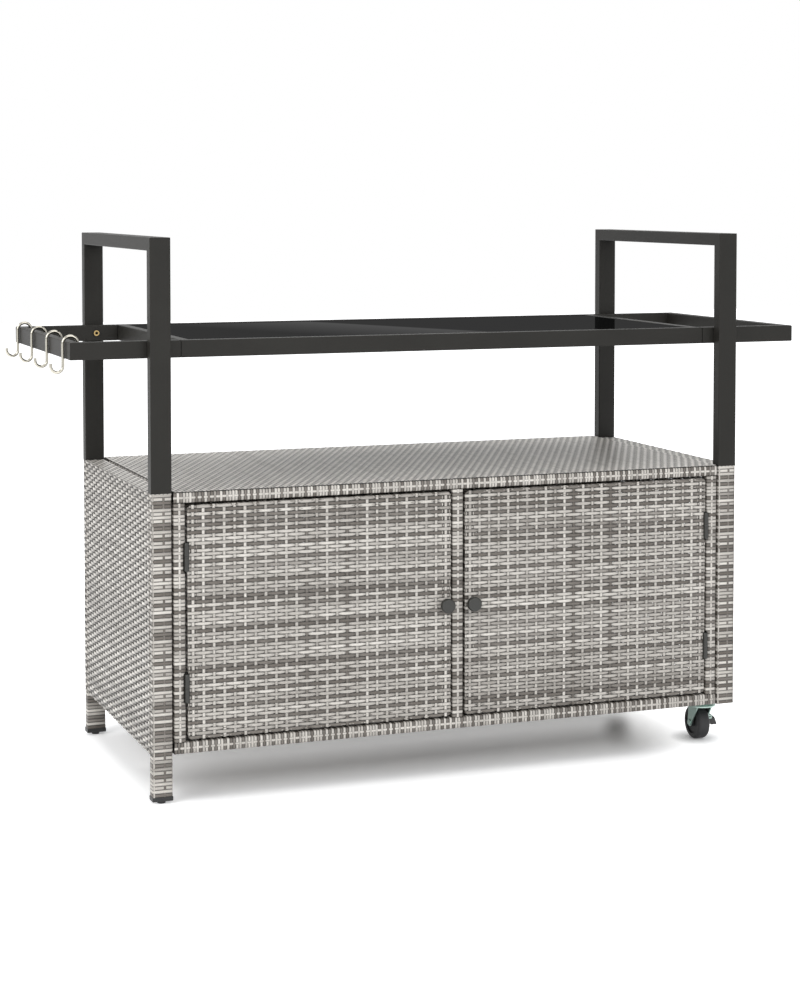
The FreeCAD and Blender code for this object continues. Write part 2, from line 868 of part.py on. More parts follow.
def plugs_and_sleeves():
    """Plugs from the legs into the uprights, and sleeves from the end frames into the top frame."""
    plugs = []
    sleeves = []
    bore = S.tube_wall + S.plug_gap
    for side in SIDES:
        x = from_side(side, S.post_width / 2)
        for end, y in (("front", S.post_thick / 2), ("back", S.cart_depth - S.post_thick / 2)):
            steps = []
            for part, wide, thick, z in (
                ("leg", LEG_WIDTH, LEG_THICK, (S.cabinet_top - S.plug_length, S.cabinet_top)),
                ("post", S.post_width, S.post_thick, (S.cabinet_top, S.cabinet_top + S.plug_length)),
            ):
                across = wide / 2 - bore
                deep = thick / 2 - bore
                steps.append(box(f"{side}_{end}_{part}_plug",
                                 block((x - across, x + across), (y - deep, y + deep), z)))
            plugs.append(fuse(f"{side}_{end}_plug", steps))
        seam = from_side(side, S.frame_seam)
        for end, y in (("front", RAIL_CENTRE), ("back", S.cart_depth - RAIL_CENTRE)):
            across = S.rail_thick / 2 - bore
            up = S.rail_height / 2 - bore
            tube = block((seam - SLEEVE_HALF, seam + SLEEVE_HALF), (y - across, y + across),
                         (RAIL_MID - up, RAIL_MID + up))
            hollow = grown(grown(tube, -S.sleeve_wall, "yz"), OVER, "x")
            sleeves.append(cut(f"{side}_{end}_sleeve", box(f"{side}_{end}_sleeve_bar", tube),
                               box(f"{side}_{end}_sleeve_bore", hollow)))
    node(group("plug_set", plugs), "upright_plugs")
    node(cut("sleeves_drilled", group("sleeve_set", sleeves), sleeve_drill), "frame_sleeves")


for side in SIDES:
    upright(side)
    end_frame(side)
top_frame()
glass_and_pads()
plugs_and_sleeves()


# Leg caps and levelling feet


def legs():
    """A plastic cap in each left leg, with a screwed foot below it."""
    x = from_side("left", S.post_width / 2)
    bore = S.tube_wall + S.plug_gap
    caps = []
    for end, y in (("front", S.post_thick / 2), ("back", S.cart_depth - S.post_thick / 2)):
        wide = S.post_width / 2
        thick = S.post_thick / 2
        cover = box(end + "_cap_cover",
                    block((x - wide, x + wide), (y - thick, y + thick), (S.foot_height, LEG_FOOT)))
        across = LEG_WIDTH / 2 - bore
        deep = LEG_THICK / 2 - bore
        stub = box(end + "_cap_stub",
                   block((x - across, x + across), (y - deep, y + deep), (LEG_FOOT, LEG_FOOT + S.cap_plug)))
        thread = rod(end + "_cap_bore", "z", (x, y, S.foot_height - OVER),
                     S.foot_stem / 2 + S.running_gap, S.cap_height + S.cap_plug + 2 * OVER)
        caps.append(cut(end + "_cap", fuse(end + "_cap_blank", (cover, stub)), thread))
        foot = rod(end + "_foot_pad", "z", (x, y, 0), S.foot_diameter / 2, S.foot_height - S.foot_play)
        stem = rod(end + "_foot_stem", "z", (x, y, 0), S.foot_stem / 2, S.foot_height + S.foot_stem_length)
        node(fuse(end + "_foot", (foot, stem)), end + "_leveller")
    node(group("cap_set", caps), "leg_caps")


legs()


# Doors, hinges, knobs and the catch


def barrel(side, level, half):
    """One half of a hinge: a barrel with a pointed end, its leaf and its bore."""
    x = from_side(side, HINGE_IN)
    middle = hinge_levels()[level]
    radius = S.barrel_diameter / 2
    tip_radius = (radius + S.hinge_pin / 2) / 2
    straight = S.barrel_length - S.barrel_tip
    name = f"{side}_{level}_{half}"
    if half == "frame":
        low = middle - S.barrel_gap / 2 - S.barrel_length
        shell = rod(name + "_shell", "z", (x, 0, low + S.barrel_tip), radius, straight)
        tip = taper(name + "_tip", (x, 0, low), tip_radius, radius, S.barrel_tip)
        bore_radius = S.hinge_pin / 2
    else:
        low = middle + S.barrel_gap / 2
        shell = rod(name + "_shell", "z", (x, 0, low), radius, straight)
        tip = taper(name + "_tip", (x, 0, low + straight), radius, tip_radius, S.barrel_tip)
        bore_radius = S.hinge_pin / 2 + S.running_gap
    leaf = box(name + "_leaf", leaf_block(side, level, half))
    bore = rod(name + "_bore", "z", (x, 0, low - OVER), bore_radius, S.barrel_length + 2 * OVER)
    return cut(name, fuse(name + "_joined", (shell, tip, leaf)), bore)


def hinges():
    frame_halves = []
    pins = []
    for side in SIDES:
        x = from_side(side, HINGE_IN)
        for level, z in hinge_levels().items():
            frame_halves.append(barrel(side, level, "frame"))
            length = 2 * (S.barrel_length - S.barrel_tip) + S.barrel_gap
            pins.append(rod(f"{side}_{level}_pin", "z", (x, 0, z - length / 2), S.hinge_pin / 2, length))
        door_halves = [barrel(side, level, "door") for level in hinge_levels()]
        node(group(side + "_door_half_set", door_halves), side + "_door_hinges")
    node(group("frame_half_set", frame_halves), "frame_hinges")
    node(group("pin_set", pins), "hinge_pins")


def knob(side):
    """A turned knob with a slim neck, held by a screw through the door tube."""
    x = from_side(side, DOOR_INNER - S.knob_inset)
    z = (DOOR_BOTTOM + DOOR_TOP) / 2
    name = side + "_pull"
    body = new_body(name)
    profile = new_sketch(body, "XY_Plane", x, 0, z)
    head = S.knob_diameter / 2
    neck = S.knob_stem / 2
    bore = S.screw_diameter / 2
    shoulder = S.knob_head - S.knob_reach
    outline(profile, [
        (bore, as_size(0)),
        (neck, as_size(0)),
        (neck, shoulder),
        (head, shoulder),
        (head, -S.knob_reach),
        (as_size(0), -S.knob_reach),
        (as_size(0), -S.screw_bite),
        (bore, -S.screw_bite),
    ])
    revolve(body, profile)
    rim = head.number - OVER / 2
    round_edges(body, S.knob_round, lambda edge: edge.BoundBox.XLength > 2 * rim and edge.BoundBox.YLength < rim)
    node(body, side + "_knob")
    length = DOOR_THICK + S.screw_bite
    shank = rod(name + "_shank", "y", (x, -S.screw_bite, z), bore, length)
    cap = rod(name + "_cap", "y", (x, DOOR_THICK, z), S.screw_head / 2, S.screw_head_height)
    node(fuse(name + "_screw", (shank, cap)), side + "_knob_screw")
    return rod(name + "_hole", "y", (x, -as_size(OVER), z), bore + S.bolt_room / 2, DOOR_THICK + 2 * OVER)


def door(side):
    """A tube frame with round corners and its woven skin."""
    skin = S.weave_thick
    tube = DOOR_THICK - 2 * skin
    x_low, x_high = span(side, DOOR_EDGE, DOOR_INNER)
    centre = ((x_low + x_high) / 2, (DOOR_BOTTOM + DOOR_TOP) / 2)
    width = x_high - x_low
    height = DOOR_TOP - DOOR_BOTTOM
    name = side + "_door"
    hole = knob(side)
    outer = slab(name + "_slab", "XZ_Plane", centre, as_size(0), width, height, S.door_corner,
                 DOOR_THICK, backwards=True)
    core = slab(name + "_core", "XZ_Plane", centre, -skin, width - 2 * skin, height - 2 * skin,
                S.door_corner - skin, tube, backwards=True)
    tube_ranges = block((x_low + skin, x_high - skin), (skin, skin + tube),
                        (DOOR_BOTTOM + skin, DOOR_TOP - skin))
    bay = grown(grown(tube_ranges, -tube, "xz"), OVER, "y")
    ring = cut(name + "_ring", core, box(name + "_bay", bay))
    bore = cut(name + "_bore", box(name + "_bore_block", grown(tube_ranges, -S.tube_wall)),
               box(name + "_bore_bay", grown(bay, S.tube_wall, "xz")))
    node(cut(name + "_hollow", ring, bore, hole, hinge_room[side]), name + "_frame")
    recess = grown(bay, -skin, "xz")
    recess["y"] = (skin, DOOR_THICK + OVER)
    node(cut(name + "_skin", outer, ring, box(name + "_recess", recess), hole, hinge_room[side],
             *leaves(side, "door", "recess")), name + "_weave")


def catch_and_strikes():
    """A double magnetic catch behind the centre stile, and a strike plate on each door."""
    z_high = DOOR_TOP - S.catch_drop + S.catch_height / 2
    z = (z_high - S.catch_height, z_high)
    reach = STRIP / 2 + S.door_gap + OVER + S.strike_width
    node(box("catch_body", block((-reach, reach), (STRIP, STRIP + S.catch_depth), z)), "door_catch")
    middle = z_high - S.catch_height / 2
    tall = (middle - S.strike_height / 2, middle + S.strike_height / 2)
    for side in SIDES:
        x = span(side, DOOR_INNER - OVER - S.strike_width, DOOR_INNER - OVER)
        plate = block(x, (DOOR_THICK, DOOR_THICK + S.strike_thick), tall)
        node(box(side + "_strike_plate", plate), side + "_strike")


hinges()
for side in SIDES:
    door(side)
catch_and_strikes()


# S-hooks


def half_ring(name, centre, radius, upper):
    """Half of a wire ring in the XZ plane."""
    ring = doc.addObject("Part::Torus", name)
    turn = 90 if upper else -90
    ring.Placement.Rotation = FreeCAD.Rotation(FreeCAD.Vector(1, 0, 0), turn)
    ring.Angle3 = 180
    bind(ring, "Radius1", radius)
    bind(ring, "Radius2", S.hook_wire / 2)
    place(ring, *(as_size(value) for value in centre))
    return ring


def hook(index):
    """An S-hook over the left end bar; its lower curl opens outward."""
    y = S.hook_first + index * HOOK_PITCH
    wire = S.hook_wire / 2
    bar = from_side("left", S.rail_thick / 2 - S.end_reach)
    rest = S.rail_top + S.hook_lift + wire
    top = rest + S.hook_wire - S.hook_arc
    stem = bar - S.hook_arc
    low = top - S.hook_stem
    name = f"hook{index + 1}"
    pieces = [
        half_ring(name + "_arc", (bar, y, top), S.hook_arc, True),
        half_ring(name + "_curl", (stem - S.hook_curl, y, low), S.hook_curl, False),
        rod(name + "_stem", "z", (stem, y, low), wire, S.hook_stem),
        rod(name + "_inner_tip", "z", (bar + S.hook_arc, y, top - S.hook_tip), wire, S.hook_tip),
        rod(name + "_outer_tip", "z", (stem - 2 * S.hook_curl, y, low), wire, S.hook_tip),
    ]
    node(fuse(name + "_wire", pieces), f"s_hook_{index + 1}")


for index in range(HOOK_COUNT):
    hook(index)


# Casters


def caster(end):
    """Top plate, kingpin, fork, axle, wheel and brake lever of one swivel caster."""
    x = CASTER_X
    king = CASTER_Y[end]
    axle = king + S.caster_trail
    hub = S.wheel_diameter / 2
    name = end + "_caster"
    crown_low = S.wheel_diameter + S.wheel_room
    race_low = PLATE_LOW - S.race_height
    crown_high = race_low - S.swivel_gap
    king_radius = S.kingpin_diameter / 2

    flange = slab(name + "_flange", "XY_Plane", (x, king), PLATE_LOW, CASTER_SPREAD + 2 * S.plate_margin,
                  S.caster_bolt_pitch + 2 * S.plate_margin, S.plate_corner, S.plate_thick)
    race = rod(name + "_race", "z", (x, king, race_low), S.race_diameter / 2, S.race_height)
    king_hole = rod(name + "_king_hole", "z", (x, king, race_low - OVER), king_radius,
                    S.race_height + S.plate_thick + 2 * OVER)
    node(cut(name + "_top", fuse(name + "_top_blank", (flange, race)), king_hole, caster_drill), name + "_plate")

    king_low = crown_low - S.kingpin_head_height
    pin = rod(name + "_pin", "z", (x, king, king_low), king_radius, S.cabinet_bottom - king_low)
    pin_head = rod(name + "_pin_head", "z", (x, king, king_low), S.kingpin_head / 2,
                   S.kingpin_head_height - S.swivel_gap)
    node(fuse(name + "_rivet", (pin, pin_head)), name + "_kingpin")

    wheel_half = S.wheel_width / 2
    leg_in = wheel_half + S.fork_gap
    leg_out = leg_in + S.fork_thick
    crown = rod(name + "_crown", "z", (x, king, crown_low), S.crown_diameter / 2, S.crown_edge)
    dome = taper(name + "_dome", (x, king, crown_low + S.crown_edge), S.crown_diameter / 2,
                 S.crown_top / 2, crown_high - crown_low - S.crown_edge)
    pieces = [crown, dome]
    axle_boss = S.axle_head / 2 + S.fork_thick
    for part, start in (("inner", -leg_out), ("outer", leg_in)):
        leg = new_body(f"{name}_{part}_leg")
        sketch = new_sketch(leg, "YZ_Plane", z=x + start)
        outline(sketch, [
            (king - S.fork_front, crown_low + S.crown_edge / 2),
            (axle - axle_boss, hub),
            (axle + axle_boss, hub),
            (king + S.fork_back, crown_low + S.crown_edge / 2),
        ])
        pad(leg, sketch, S.fork_thick)
        pieces.append(leg)
        pieces.append(rod(f"{name}_{part}_boss", "x", (x + start, axle, hub), axle_boss, S.fork_thick))
    pivot_x = x + leg_out + S.brake_out
    pivot_y = axle - S.brake_shift
    pivot_z = hub + S.brake_up
    ear_low = S.lever_width / 2 + S.ear_gap
    ear_high = ear_low + S.ear_thick
    for tag, y in (("a", (pivot_y - ear_high, pivot_y - ear_low)), ("b", (pivot_y + ear_low, pivot_y + ear_high))):
        ear = block((x + leg_out - S.fork_thick / 2, pivot_x + S.brake_pin), y,
                    (pivot_z - S.brake_pin, pivot_z + S.brake_pin))
        pieces.append(box(f"{name}_ear_{tag}", ear))
    axle_start = x - leg_out - OVER
    fork_holes = [
        rod(name + "_fork_bore", "z", (x, king, crown_low - OVER), king_radius + S.running_gap,
            crown_high - crown_low + 2 * OVER),
        rod(name + "_axle_hole", "x", (axle_start, axle, hub), S.axle_diameter / 2, 2 * (leg_out + OVER)),
        rod(name + "_ear_hole", "y", (pivot_x, pivot_y - ear_high - OVER, pivot_z),
            S.brake_pin / 2 + S.running_gap, 2 * (ear_high + OVER)),
    ]
    node(cut(name + "_yoke", fuse(name + "_yoke_blank", pieces), *fork_holes), name + "_fork")

    shaft = rod(name + "_shaft", "x", (x - leg_out, axle, hub), S.axle_diameter / 2, 2 * leg_out)
    heads = [
        rod(f"{name}_head_{tag}", "x", (start, axle, hub), S.axle_head / 2, S.axle_head_height)
        for tag, start in (("a", x - leg_out - S.axle_head_height), ("b", x + leg_out))
    ]
    node(fuse(name + "_bolt", (shaft, *heads)), name + "_axle")

    tread = new_body(name + "_tread")
    disc = new_sketch(tread, "YZ_Plane", z=x - wheel_half)
    circle(disc, axle, hub, hub)
    pad(tread, disc, S.wheel_width)
    round_edges(tread, S.wheel_round, lambda edge: edge.BoundBox.XLength < wheel_half.number)
    hollows = []
    for tag, start in (("a", x - wheel_half - OVER), ("b", x + wheel_half - S.wheel_recess)):
        depth = S.wheel_recess + OVER
        rim = rod(f"{name}_rim_{tag}", "x", (start, axle, hub), S.rim_inside / 2, depth)
        boss = rod(f"{name}_hub_{tag}", "x", (start, axle, hub), S.hub_diameter / 2, depth)
        hollows.append(cut(f"{name}_hollow_{tag}", rim, boss))
    bore = rod(name + "_wheel_bore", "x", (x - wheel_half - OVER, axle, hub),
               S.axle_diameter / 2 + S.running_gap, S.wheel_width + 2 * OVER)
    node(cut(name + "_disc", tread, *hollows, bore), name + "_wheel")

    pedal = new_body(name + "_pedal")
    shape = new_sketch(pedal, "XZ_Plane", pivot_x, pivot_z, S.lever_width / 2 - pivot_y)
    outline(shape, [
        (-S.lever_heel, S.lever_rise),
        (S.lever_heel, S.lever_rise),
        (S.lever_reach - S.lever_rise, -S.lever_toe),
        (S.lever_reach, S.lever_toe - S.lever_drop),
        (S.lever_reach, -S.lever_drop),
        (S.lever_rise, -S.lever_drop),
        (-S.lever_heel, -S.lever_toe),
    ])
    pad(pedal, shape, S.lever_width, backwards=True)
    trunnion = rod(name + "_trunnion", "y", (pivot_x, pivot_y - ear_high, pivot_z), S.brake_pin / 2, 2 * ear_high)
    node(fuse(name + "_lever", (pedal, trunnion)), name + "_brake")


for end in CASTER_Y:
    caster(end)


# Build, test and write every piece


def check_and_export():
    doc.recompute()
    failed = [thing.Label for thing in doc.Objects if {"Invalid", "Error"} & set(thing.State)]
    if failed:
        raise RuntimeError(f"failed to build: {failed}")
    for thing in nodes:
        if thing.Shape.isNull() or not thing.Shape.isValid() or not thing.Shape.Solids:
            raise RuntimeError(f"bad shape: {thing.Label}")
    os.makedirs("parts", exist_ok=True)
    for thing in nodes:
        thing.Shape.exportStep(f"parts/{thing.Label}.step")
    print(f"{len(nodes)} pieces written")


check_and_export()
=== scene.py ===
# %% [markdown]
# An outdoor bar cart: a woven cabinet, a painted tube frame and a black glass top.
# The solids come in first as a fixed frame, so each new piece has a place to go to.

# %% Load the cart
import bpy
import json
import math
import random
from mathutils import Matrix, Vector


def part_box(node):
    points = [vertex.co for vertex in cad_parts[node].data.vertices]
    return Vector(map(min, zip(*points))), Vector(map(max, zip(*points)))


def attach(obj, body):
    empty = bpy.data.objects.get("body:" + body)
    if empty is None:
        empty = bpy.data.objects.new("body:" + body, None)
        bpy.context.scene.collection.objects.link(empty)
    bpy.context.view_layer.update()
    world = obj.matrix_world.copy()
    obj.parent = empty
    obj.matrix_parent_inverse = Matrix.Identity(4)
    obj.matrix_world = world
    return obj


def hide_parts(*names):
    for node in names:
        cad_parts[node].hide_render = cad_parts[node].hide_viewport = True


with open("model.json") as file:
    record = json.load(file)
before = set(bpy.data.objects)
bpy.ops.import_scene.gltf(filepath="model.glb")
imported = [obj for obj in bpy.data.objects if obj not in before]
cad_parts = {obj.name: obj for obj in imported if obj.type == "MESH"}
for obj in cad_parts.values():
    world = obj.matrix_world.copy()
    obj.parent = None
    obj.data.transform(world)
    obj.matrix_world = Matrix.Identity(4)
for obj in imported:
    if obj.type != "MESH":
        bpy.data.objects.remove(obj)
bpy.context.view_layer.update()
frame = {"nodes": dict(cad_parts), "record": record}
nodes = frame["nodes"]

# %% [markdown]
# The photograph was taken from the front left, a little above the glass, with a long lens.
# A camera that only tilts would make the posts lean together. A shifted lens keeps them upright.
# A small tilt shares the work with the shift, so that the cart stays in view from other sides.

# %% Set up the camera
IMAGE_LONG_SIDE = 1000.0
FOCAL_PIXELS = 2159.1
SENSOR_WIDTH = 36
LENS_SHIFT = -0.2
CAMERA_PLACE = (-1.5866, -4.1991, 1.1468)
TURN = math.radians(20.682)
TILT = math.radians(2.781)

bpy.ops.object.select_all(action="DESELECT")
bpy.ops.object.camera_add(location=CAMERA_PLACE, rotation=(math.pi / 2 - TILT, 0, -TURN))
camera = bpy.context.object
camera.name = "photo_camera"
camera.data.sensor_width = SENSOR_WIDTH
camera.data.lens = FOCAL_PIXELS / IMAGE_LONG_SIDE * SENSOR_WIDTH
camera.data.shift_y = LENS_SHIFT
bpy.context.scene.camera = camera
print("lens", round(camera.data.lens, 2), "mm")

# %% [markdown]
# Large soft lamps stand on the left, in front and overhead, on the sides that the camera sees.
# The white background is only for the camera and for reflections. The light from all round is a
# weaker glow, slightly blue.

# %% Light the cart
MIDDLE = (0, 0, 0.5)
# Place and width in metres, and power in watts
LAMPS = {
    "left_lamp": ((-3.4, -1.6, 2.4), 2.4, 75),
    "front_lamp": ((0.8, -4.6, 2.6), 3.0, 75),
    "top_lamp": ((0.2, 0.6, 4.2), 3.5, 60),
}
WHITE = (1, 1, 1, 1)
GLOW_COLOUR = (0.95, 0.97, 1, 1)
GLOW_STRENGTH = 0.5


def soft_lamp(name, place, size, power):
    """Add one square lamp that faces the middle of the cart."""
    bpy.ops.object.light_add(type="AREA", location=place)
    lamp = bpy.context.object
    lamp.name = name
    lamp.data.shape = "SQUARE"
    lamp.data.size = size
    lamp.data.energy = power
    lamp.rotation_euler = (Vector(MIDDLE) - Vector(place)).to_track_quat("-Z", "Y").to_euler()


def value_step(tree, operation, first, second):
    """One operation on two values."""
    step = tree.nodes.new("ShaderNodeMath")
    step.operation = operation
    tree.links.new(first, step.inputs[0])
    tree.links.new(second, step.inputs[1])
    return step.outputs[0]


def seen_directly(tree):
    """A value of 1 for camera, glossy and transmission rays, and 0 for light that falls on things."""
    path = tree.nodes.new("ShaderNodeLightPath")
    total = path.outputs["Is Camera Ray"]
    for socket in ("Is Glossy Ray", "Is Transmission Ray"):
        total = value_step(tree, "MAXIMUM", total, path.outputs[socket])
    return total


def studio_world():
    """White where it is seen, and a soft glow as a source of light."""
    world = bpy.data.worlds.new("studio")
    world.use_nodes = True
    tree = world.node_tree
    tree.nodes.clear()
    white = tree.nodes.new("ShaderNodeBackground")
    white.inputs["Color"].default_value = WHITE
    glow = tree.nodes.new("ShaderNodeBackground")
    glow.inputs["Color"].default_value = GLOW_COLOUR
    glow.inputs["Strength"].default_value = GLOW_STRENGTH
    blend = tree.nodes.new("ShaderNodeMixShader")
    out = tree.nodes.new("ShaderNodeOutputWorld")
    tree.links.new(seen_directly(tree), blend.inputs[0])
    tree.links.new(glow.outputs[0], blend.inputs[1])
    tree.links.new(white.outputs[0], blend.inputs[2])
    tree.links.new(blend.outputs[0], out.inputs["Surface"])
    bpy.context.scene.world = world


for lamp_name, (lamp_place, lamp_size, lamp_power) in LAMPS.items():
    soft_lamp(lamp_name, lamp_place, lamp_size, lamp_power)
studio_world()
bpy.context.scene.view_settings.view_transform = "Standard"
print("lamps", list(LAMPS))

# %% [markdown]
# The cart stands on white paper, and in the photograph its shade stays close to it. So the paper
# glows for the camera, least under the front of the cart, more under its back, and fully further
# out; where it glows less, shade is painted. Under the front caster a dark spot is a painted contact
# shadow. A dark streak is a painted reflection, the floor's blurred mirror image of the rear caster,
# which the cabinet hides.

# %% Paper floor
FLOOR_SIZE = 30
FLOOR_DROP = 0.0005
PAPER_COLOUR = (0.93, 0.93, 0.93, 1)
PAPER_ROUGHNESS = 0.9
PAPER_SPECULAR = 0.1
# The glow is held back in this box under the cart, which paints the shade there
SHADE_MIDDLE = (-0.0425, 0.03, 0)
SHADE_HALF = (0.4275, 0.22, 0)
PAPER_FADE = 0.29
# Between these two places, both in front of the middle, the glow grows from front to back value
DARK_FROM, PALE_FROM = -0.15, -0.03
FRONT_LIFT, BACK_LIFT = 0.08, 0.31
# A painted contact shadow under the front caster
WHEEL_FADE = 0.11
WHEEL_LIFT = 0.1
# A painted reflection: the rear caster's blurred mirror image as a dark streak
MIRROR_MIDDLE = (0.47, -0.07, 0)
MIRROR_TURN = math.radians(-27)
MIRROR_HALF = (0.045, 0.22, 1)
MIRROR_LIFT = 0.03


def scaled(tree, value, low, high, to_low, to_high):
    """Map a value from one range to another."""
    node = tree.nodes.new("ShaderNodeMapRange")
    node.inputs["From Min"].default_value = low
    node.inputs["From Max"].default_value = high
    node.inputs["To Min"].default_value = to_low
    node.inputs["To Max"].default_value = to_high
    tree.links.new(value, node.inputs["Value"])
    return node.outputs["Result"]


def vector_step(tree, operation, first, second=None):
    """One vector operation, with a fixed second vector where it needs one."""
    step = tree.nodes.new("ShaderNodeVectorMath")
    step.operation = operation
    tree.links.new(first, step.inputs[0])
    if second is not None:
        step.inputs[1].default_value = second
    return step.outputs["Value" if operation in ("LENGTH", "DOT_PRODUCT") else "Vector"]


def rising(tree, distance, reach, least):
    """A soft rise from a least value up to 1 at some distance."""
    fade = tree.nodes.new("ShaderNodeMapRange")
    fade.interpolation_type = "SMOOTHSTEP"
    fade.inputs["From Max"].default_value = reach
    fade.inputs["To Min"].default_value = least
    tree.links.new(distance, fade.inputs["Value"])
    return fade.outputs["Result"]


def wheel_shadow_spot():
    """Where the front caster touches the floor, the middle of its painted contact shadow, measured from the
    middle of the shade.
    """
    low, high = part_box("front_caster_wheel")
    return ((low.x + high.x) / 2 - SHADE_MIDDLE[0], (low.y + high.y) / 2 - SHADE_MIDDLE[1], 0)


def mirror_distance(tree, place):
    """How far a place is from the blurred mirror image of the rear caster, 1 at its edge."""
    turned = tree.nodes.new("ShaderNodeMapping")
    turned.vector_type = "TEXTURE"
    turned.inputs["Location"].default_value = MIRROR_MIDDLE
    turned.inputs["Rotation"].default_value = (0, 0, MIRROR_TURN)
    turned.inputs["Scale"].default_value = MIRROR_HALF
    tree.links.new(place, turned.inputs["Vector"])
    return vector_step(tree, "LENGTH", turned.outputs["Vector"])


def paper_whiteness(tree):
    """How much white the paper shows to the camera: a little under the cart, all of it further out. Where
    it shows less, shade is painted.
    """
    place = tree.nodes.new("ShaderNodeTexCoord").outputs["Object"]
    from_middle = vector_step(tree, "SUBTRACT", place, SHADE_MIDDLE)
    outside = vector_step(tree, "SUBTRACT", vector_step(tree, "ABSOLUTE", from_middle), SHADE_HALF)
    distance = vector_step(tree, "LENGTH", vector_step(tree, "MAXIMUM", outside, (0, 0, 0)))
    wheel = vector_step(tree, "LENGTH", vector_step(tree, "SUBTRACT", from_middle, wheel_shadow_spot()))
    depth = tree.nodes.new("ShaderNodeSeparateXYZ")
    tree.links.new(from_middle, depth.inputs[0])
    lift = scaled(tree, depth.outputs["Y"], DARK_FROM, PALE_FROM, FRONT_LIFT, BACK_LIFT)
    shade = value_step(tree, "MAXIMUM", rising(tree, distance, PAPER_FADE, 0), lift)
    least = value_step(tree, "MINIMUM", shade, rising(tree, wheel, WHEEL_FADE, WHEEL_LIFT))
    mirror = rising(tree, mirror_distance(tree, place), 1, MIRROR_LIFT)
    glow = value_step(tree, "MULTIPLY", least, mirror)
    return value_step(tree, "MULTIPLY", glow, seen_directly(tree))


def paper_floor():
    """A pale floor that keeps the cart's shadow and fades into the background."""
    bpy.ops.mesh.primitive_plane_add(size=FLOOR_SIZE, location=(0, 0, -FLOOR_DROP))
    floor = bpy.context.object
    floor.name = "paper_floor"
    paper = bpy.data.materials.new("paper")
    paper.use_nodes = True
    tree = paper.node_tree
    shader = tree.nodes["Principled BSDF"]
    shader.inputs["Base Color"].default_value = PAPER_COLOUR
    shader.inputs["Roughness"].default_value = PAPER_ROUGHNESS
    shader.inputs["Specular IOR Level"].default_value = PAPER_SPECULAR
    white = tree.nodes.new("ShaderNodeEmission")
    total = tree.nodes.new("ShaderNodeAddShader")
    tree.links.new(paper_whiteness(tree), white.inputs["Strength"])
    tree.links.new(shader.outputs[0], total.inputs[0])
    tree.links.new(white.outputs[0], total.inputs[1])
    tree.links.new(total.outputs[0], tree.nodes["Material Output"].inputs["Surface"])
    floor.data.materials.append(paper)


paper_floor()
print("paper floor", FLOOR_SIZE, "m wide")

# %% [markdown]
# Most of this cart is woven from flat resin strands, so the next cells give the few moves that
# every strand needs: pick some vertices, move them, thicken, repeat and put in place.
# Each move is an edit-mode operator or a modifier, as it would be with the mouse.

# %% Hand tools
MM = 0.001


def only(obj):
    """Select one object and make it active."""
    bpy.ops.object.select_all(action="DESELECT")
    obj.select_set(True)
    bpy.context.view_layer.objects.active = obj


def pick(obj, test):
    """Select the vertices that pass a test, then enter edit mode."""
    only(obj)
    bpy.ops.object.mode_set(mode="EDIT")
    bpy.ops.mesh.select_mode(type="VERT")
    bpy.ops.mesh.select_all(action="DESELECT")
    bpy.ops.object.mode_set(mode="OBJECT")
    for vertex in obj.data.vertices:
        vertex.select = test(vertex.co)
    bpy.ops.object.mode_set(mode="EDIT")


def done():
    """Leave edit mode."""
    bpy.ops.object.mode_set(mode="OBJECT")


def shift(obj, test, offset):
    """Move the vertices that pass a test."""
    pick(obj, test)
    bpy.ops.transform.translate(value=offset)
    done()


def thicken(obj, thickness, side):
    """Give a strip its thickness: side 0 is both ways, -1 is inward."""
    only(obj)
    wall = obj.modifiers.new("wall", "SOLIDIFY")
    wall.thickness = thickness
    wall.offset = side
    bpy.ops.object.modifier_apply(modifier=wall.name)


def repeat(obj, step, count):
    """Copy a strand along a line."""
    only(obj)
    row = obj.modifiers.new("row", "ARRAY")
    row.use_relative_offset = False
    row.use_constant_offset = True
    row.constant_offset_displace = step
    row.count = count
    bpy.ops.object.modifier_apply(modifier=row.name)


def put(obj, turn, place):
    """Turn an object, move it and leave that in its mesh."""
    only(obj)
    obj.rotation_euler = [math.radians(angle) for angle in turn]
    obj.location = place
    bpy.ops.object.transform_apply(location=True, rotation=True, scale=True)


def join(name, parts):
    """Make several objects one piece."""
    bpy.ops.object.select_all(action="DESELECT")
    for part in parts:
        part.select_set(True)
    bpy.context.view_layer.objects.active = parts[0]
    bpy.ops.object.join()
    piece = bpy.context.object
    piece.name = name
    piece.data.name = name
    return piece


print("hand tools ready")

# %% [markdown]
# The strands are dyed in greys, from a pale sand to a brown grey, and most rows differ a little.
# A picture of weave would look flat. Here each strand carries its own number, its tone, and one
# material turns that number into a colour. Brown rows come at uneven distances, as on the doors
# in the photograph.

# %% Tones of the strands
PALE, MIDDLE_GREY, BROWN_GREY = 0.84, 0.55, 0.05
# Tones above 1 are painted sheen, given only to the rows of the deck's cloth
LIGHTEST = 1.25
TONE_SPREAD = 0.1
PALE_SHARE = 0.85
# How many pale rows may lie between two brown ones
DOOR_GAPS = (0, 1, 2, 3, 3, 3, 4, 5, 9)
TURN_GAPS = (0, 1, 1, 1, 2, 2, 3, 4)
DOOR_CLOSE_FROM = 0.86
BROWN_WARP = 0.44
BROWN_WARP_STEP = 4
tone_draw = random.Random(7)


def near(tone):
    """A tone that differs a little each time."""
    return min(1, max(0, tone + tone_draw.uniform(-TONE_SPREAD, TONE_SPREAD)))


def striped_tones(count, gaps, close_from):
    """Brown rows with pale ones between; gaps lists how many, and from one row on it is always one."""
    tones = []
    pale_left = 0
    for row in range(count):
        if pale_left:
            pale_left -= 1
            tones.append(near(PALE if tone_draw.random() < PALE_SHARE else MIDDLE_GREY))
        else:
            pale_left = 1 if row >= close_from else tone_draw.choice(gaps)
            tones.append(near(BROWN_GREY))
    return tones


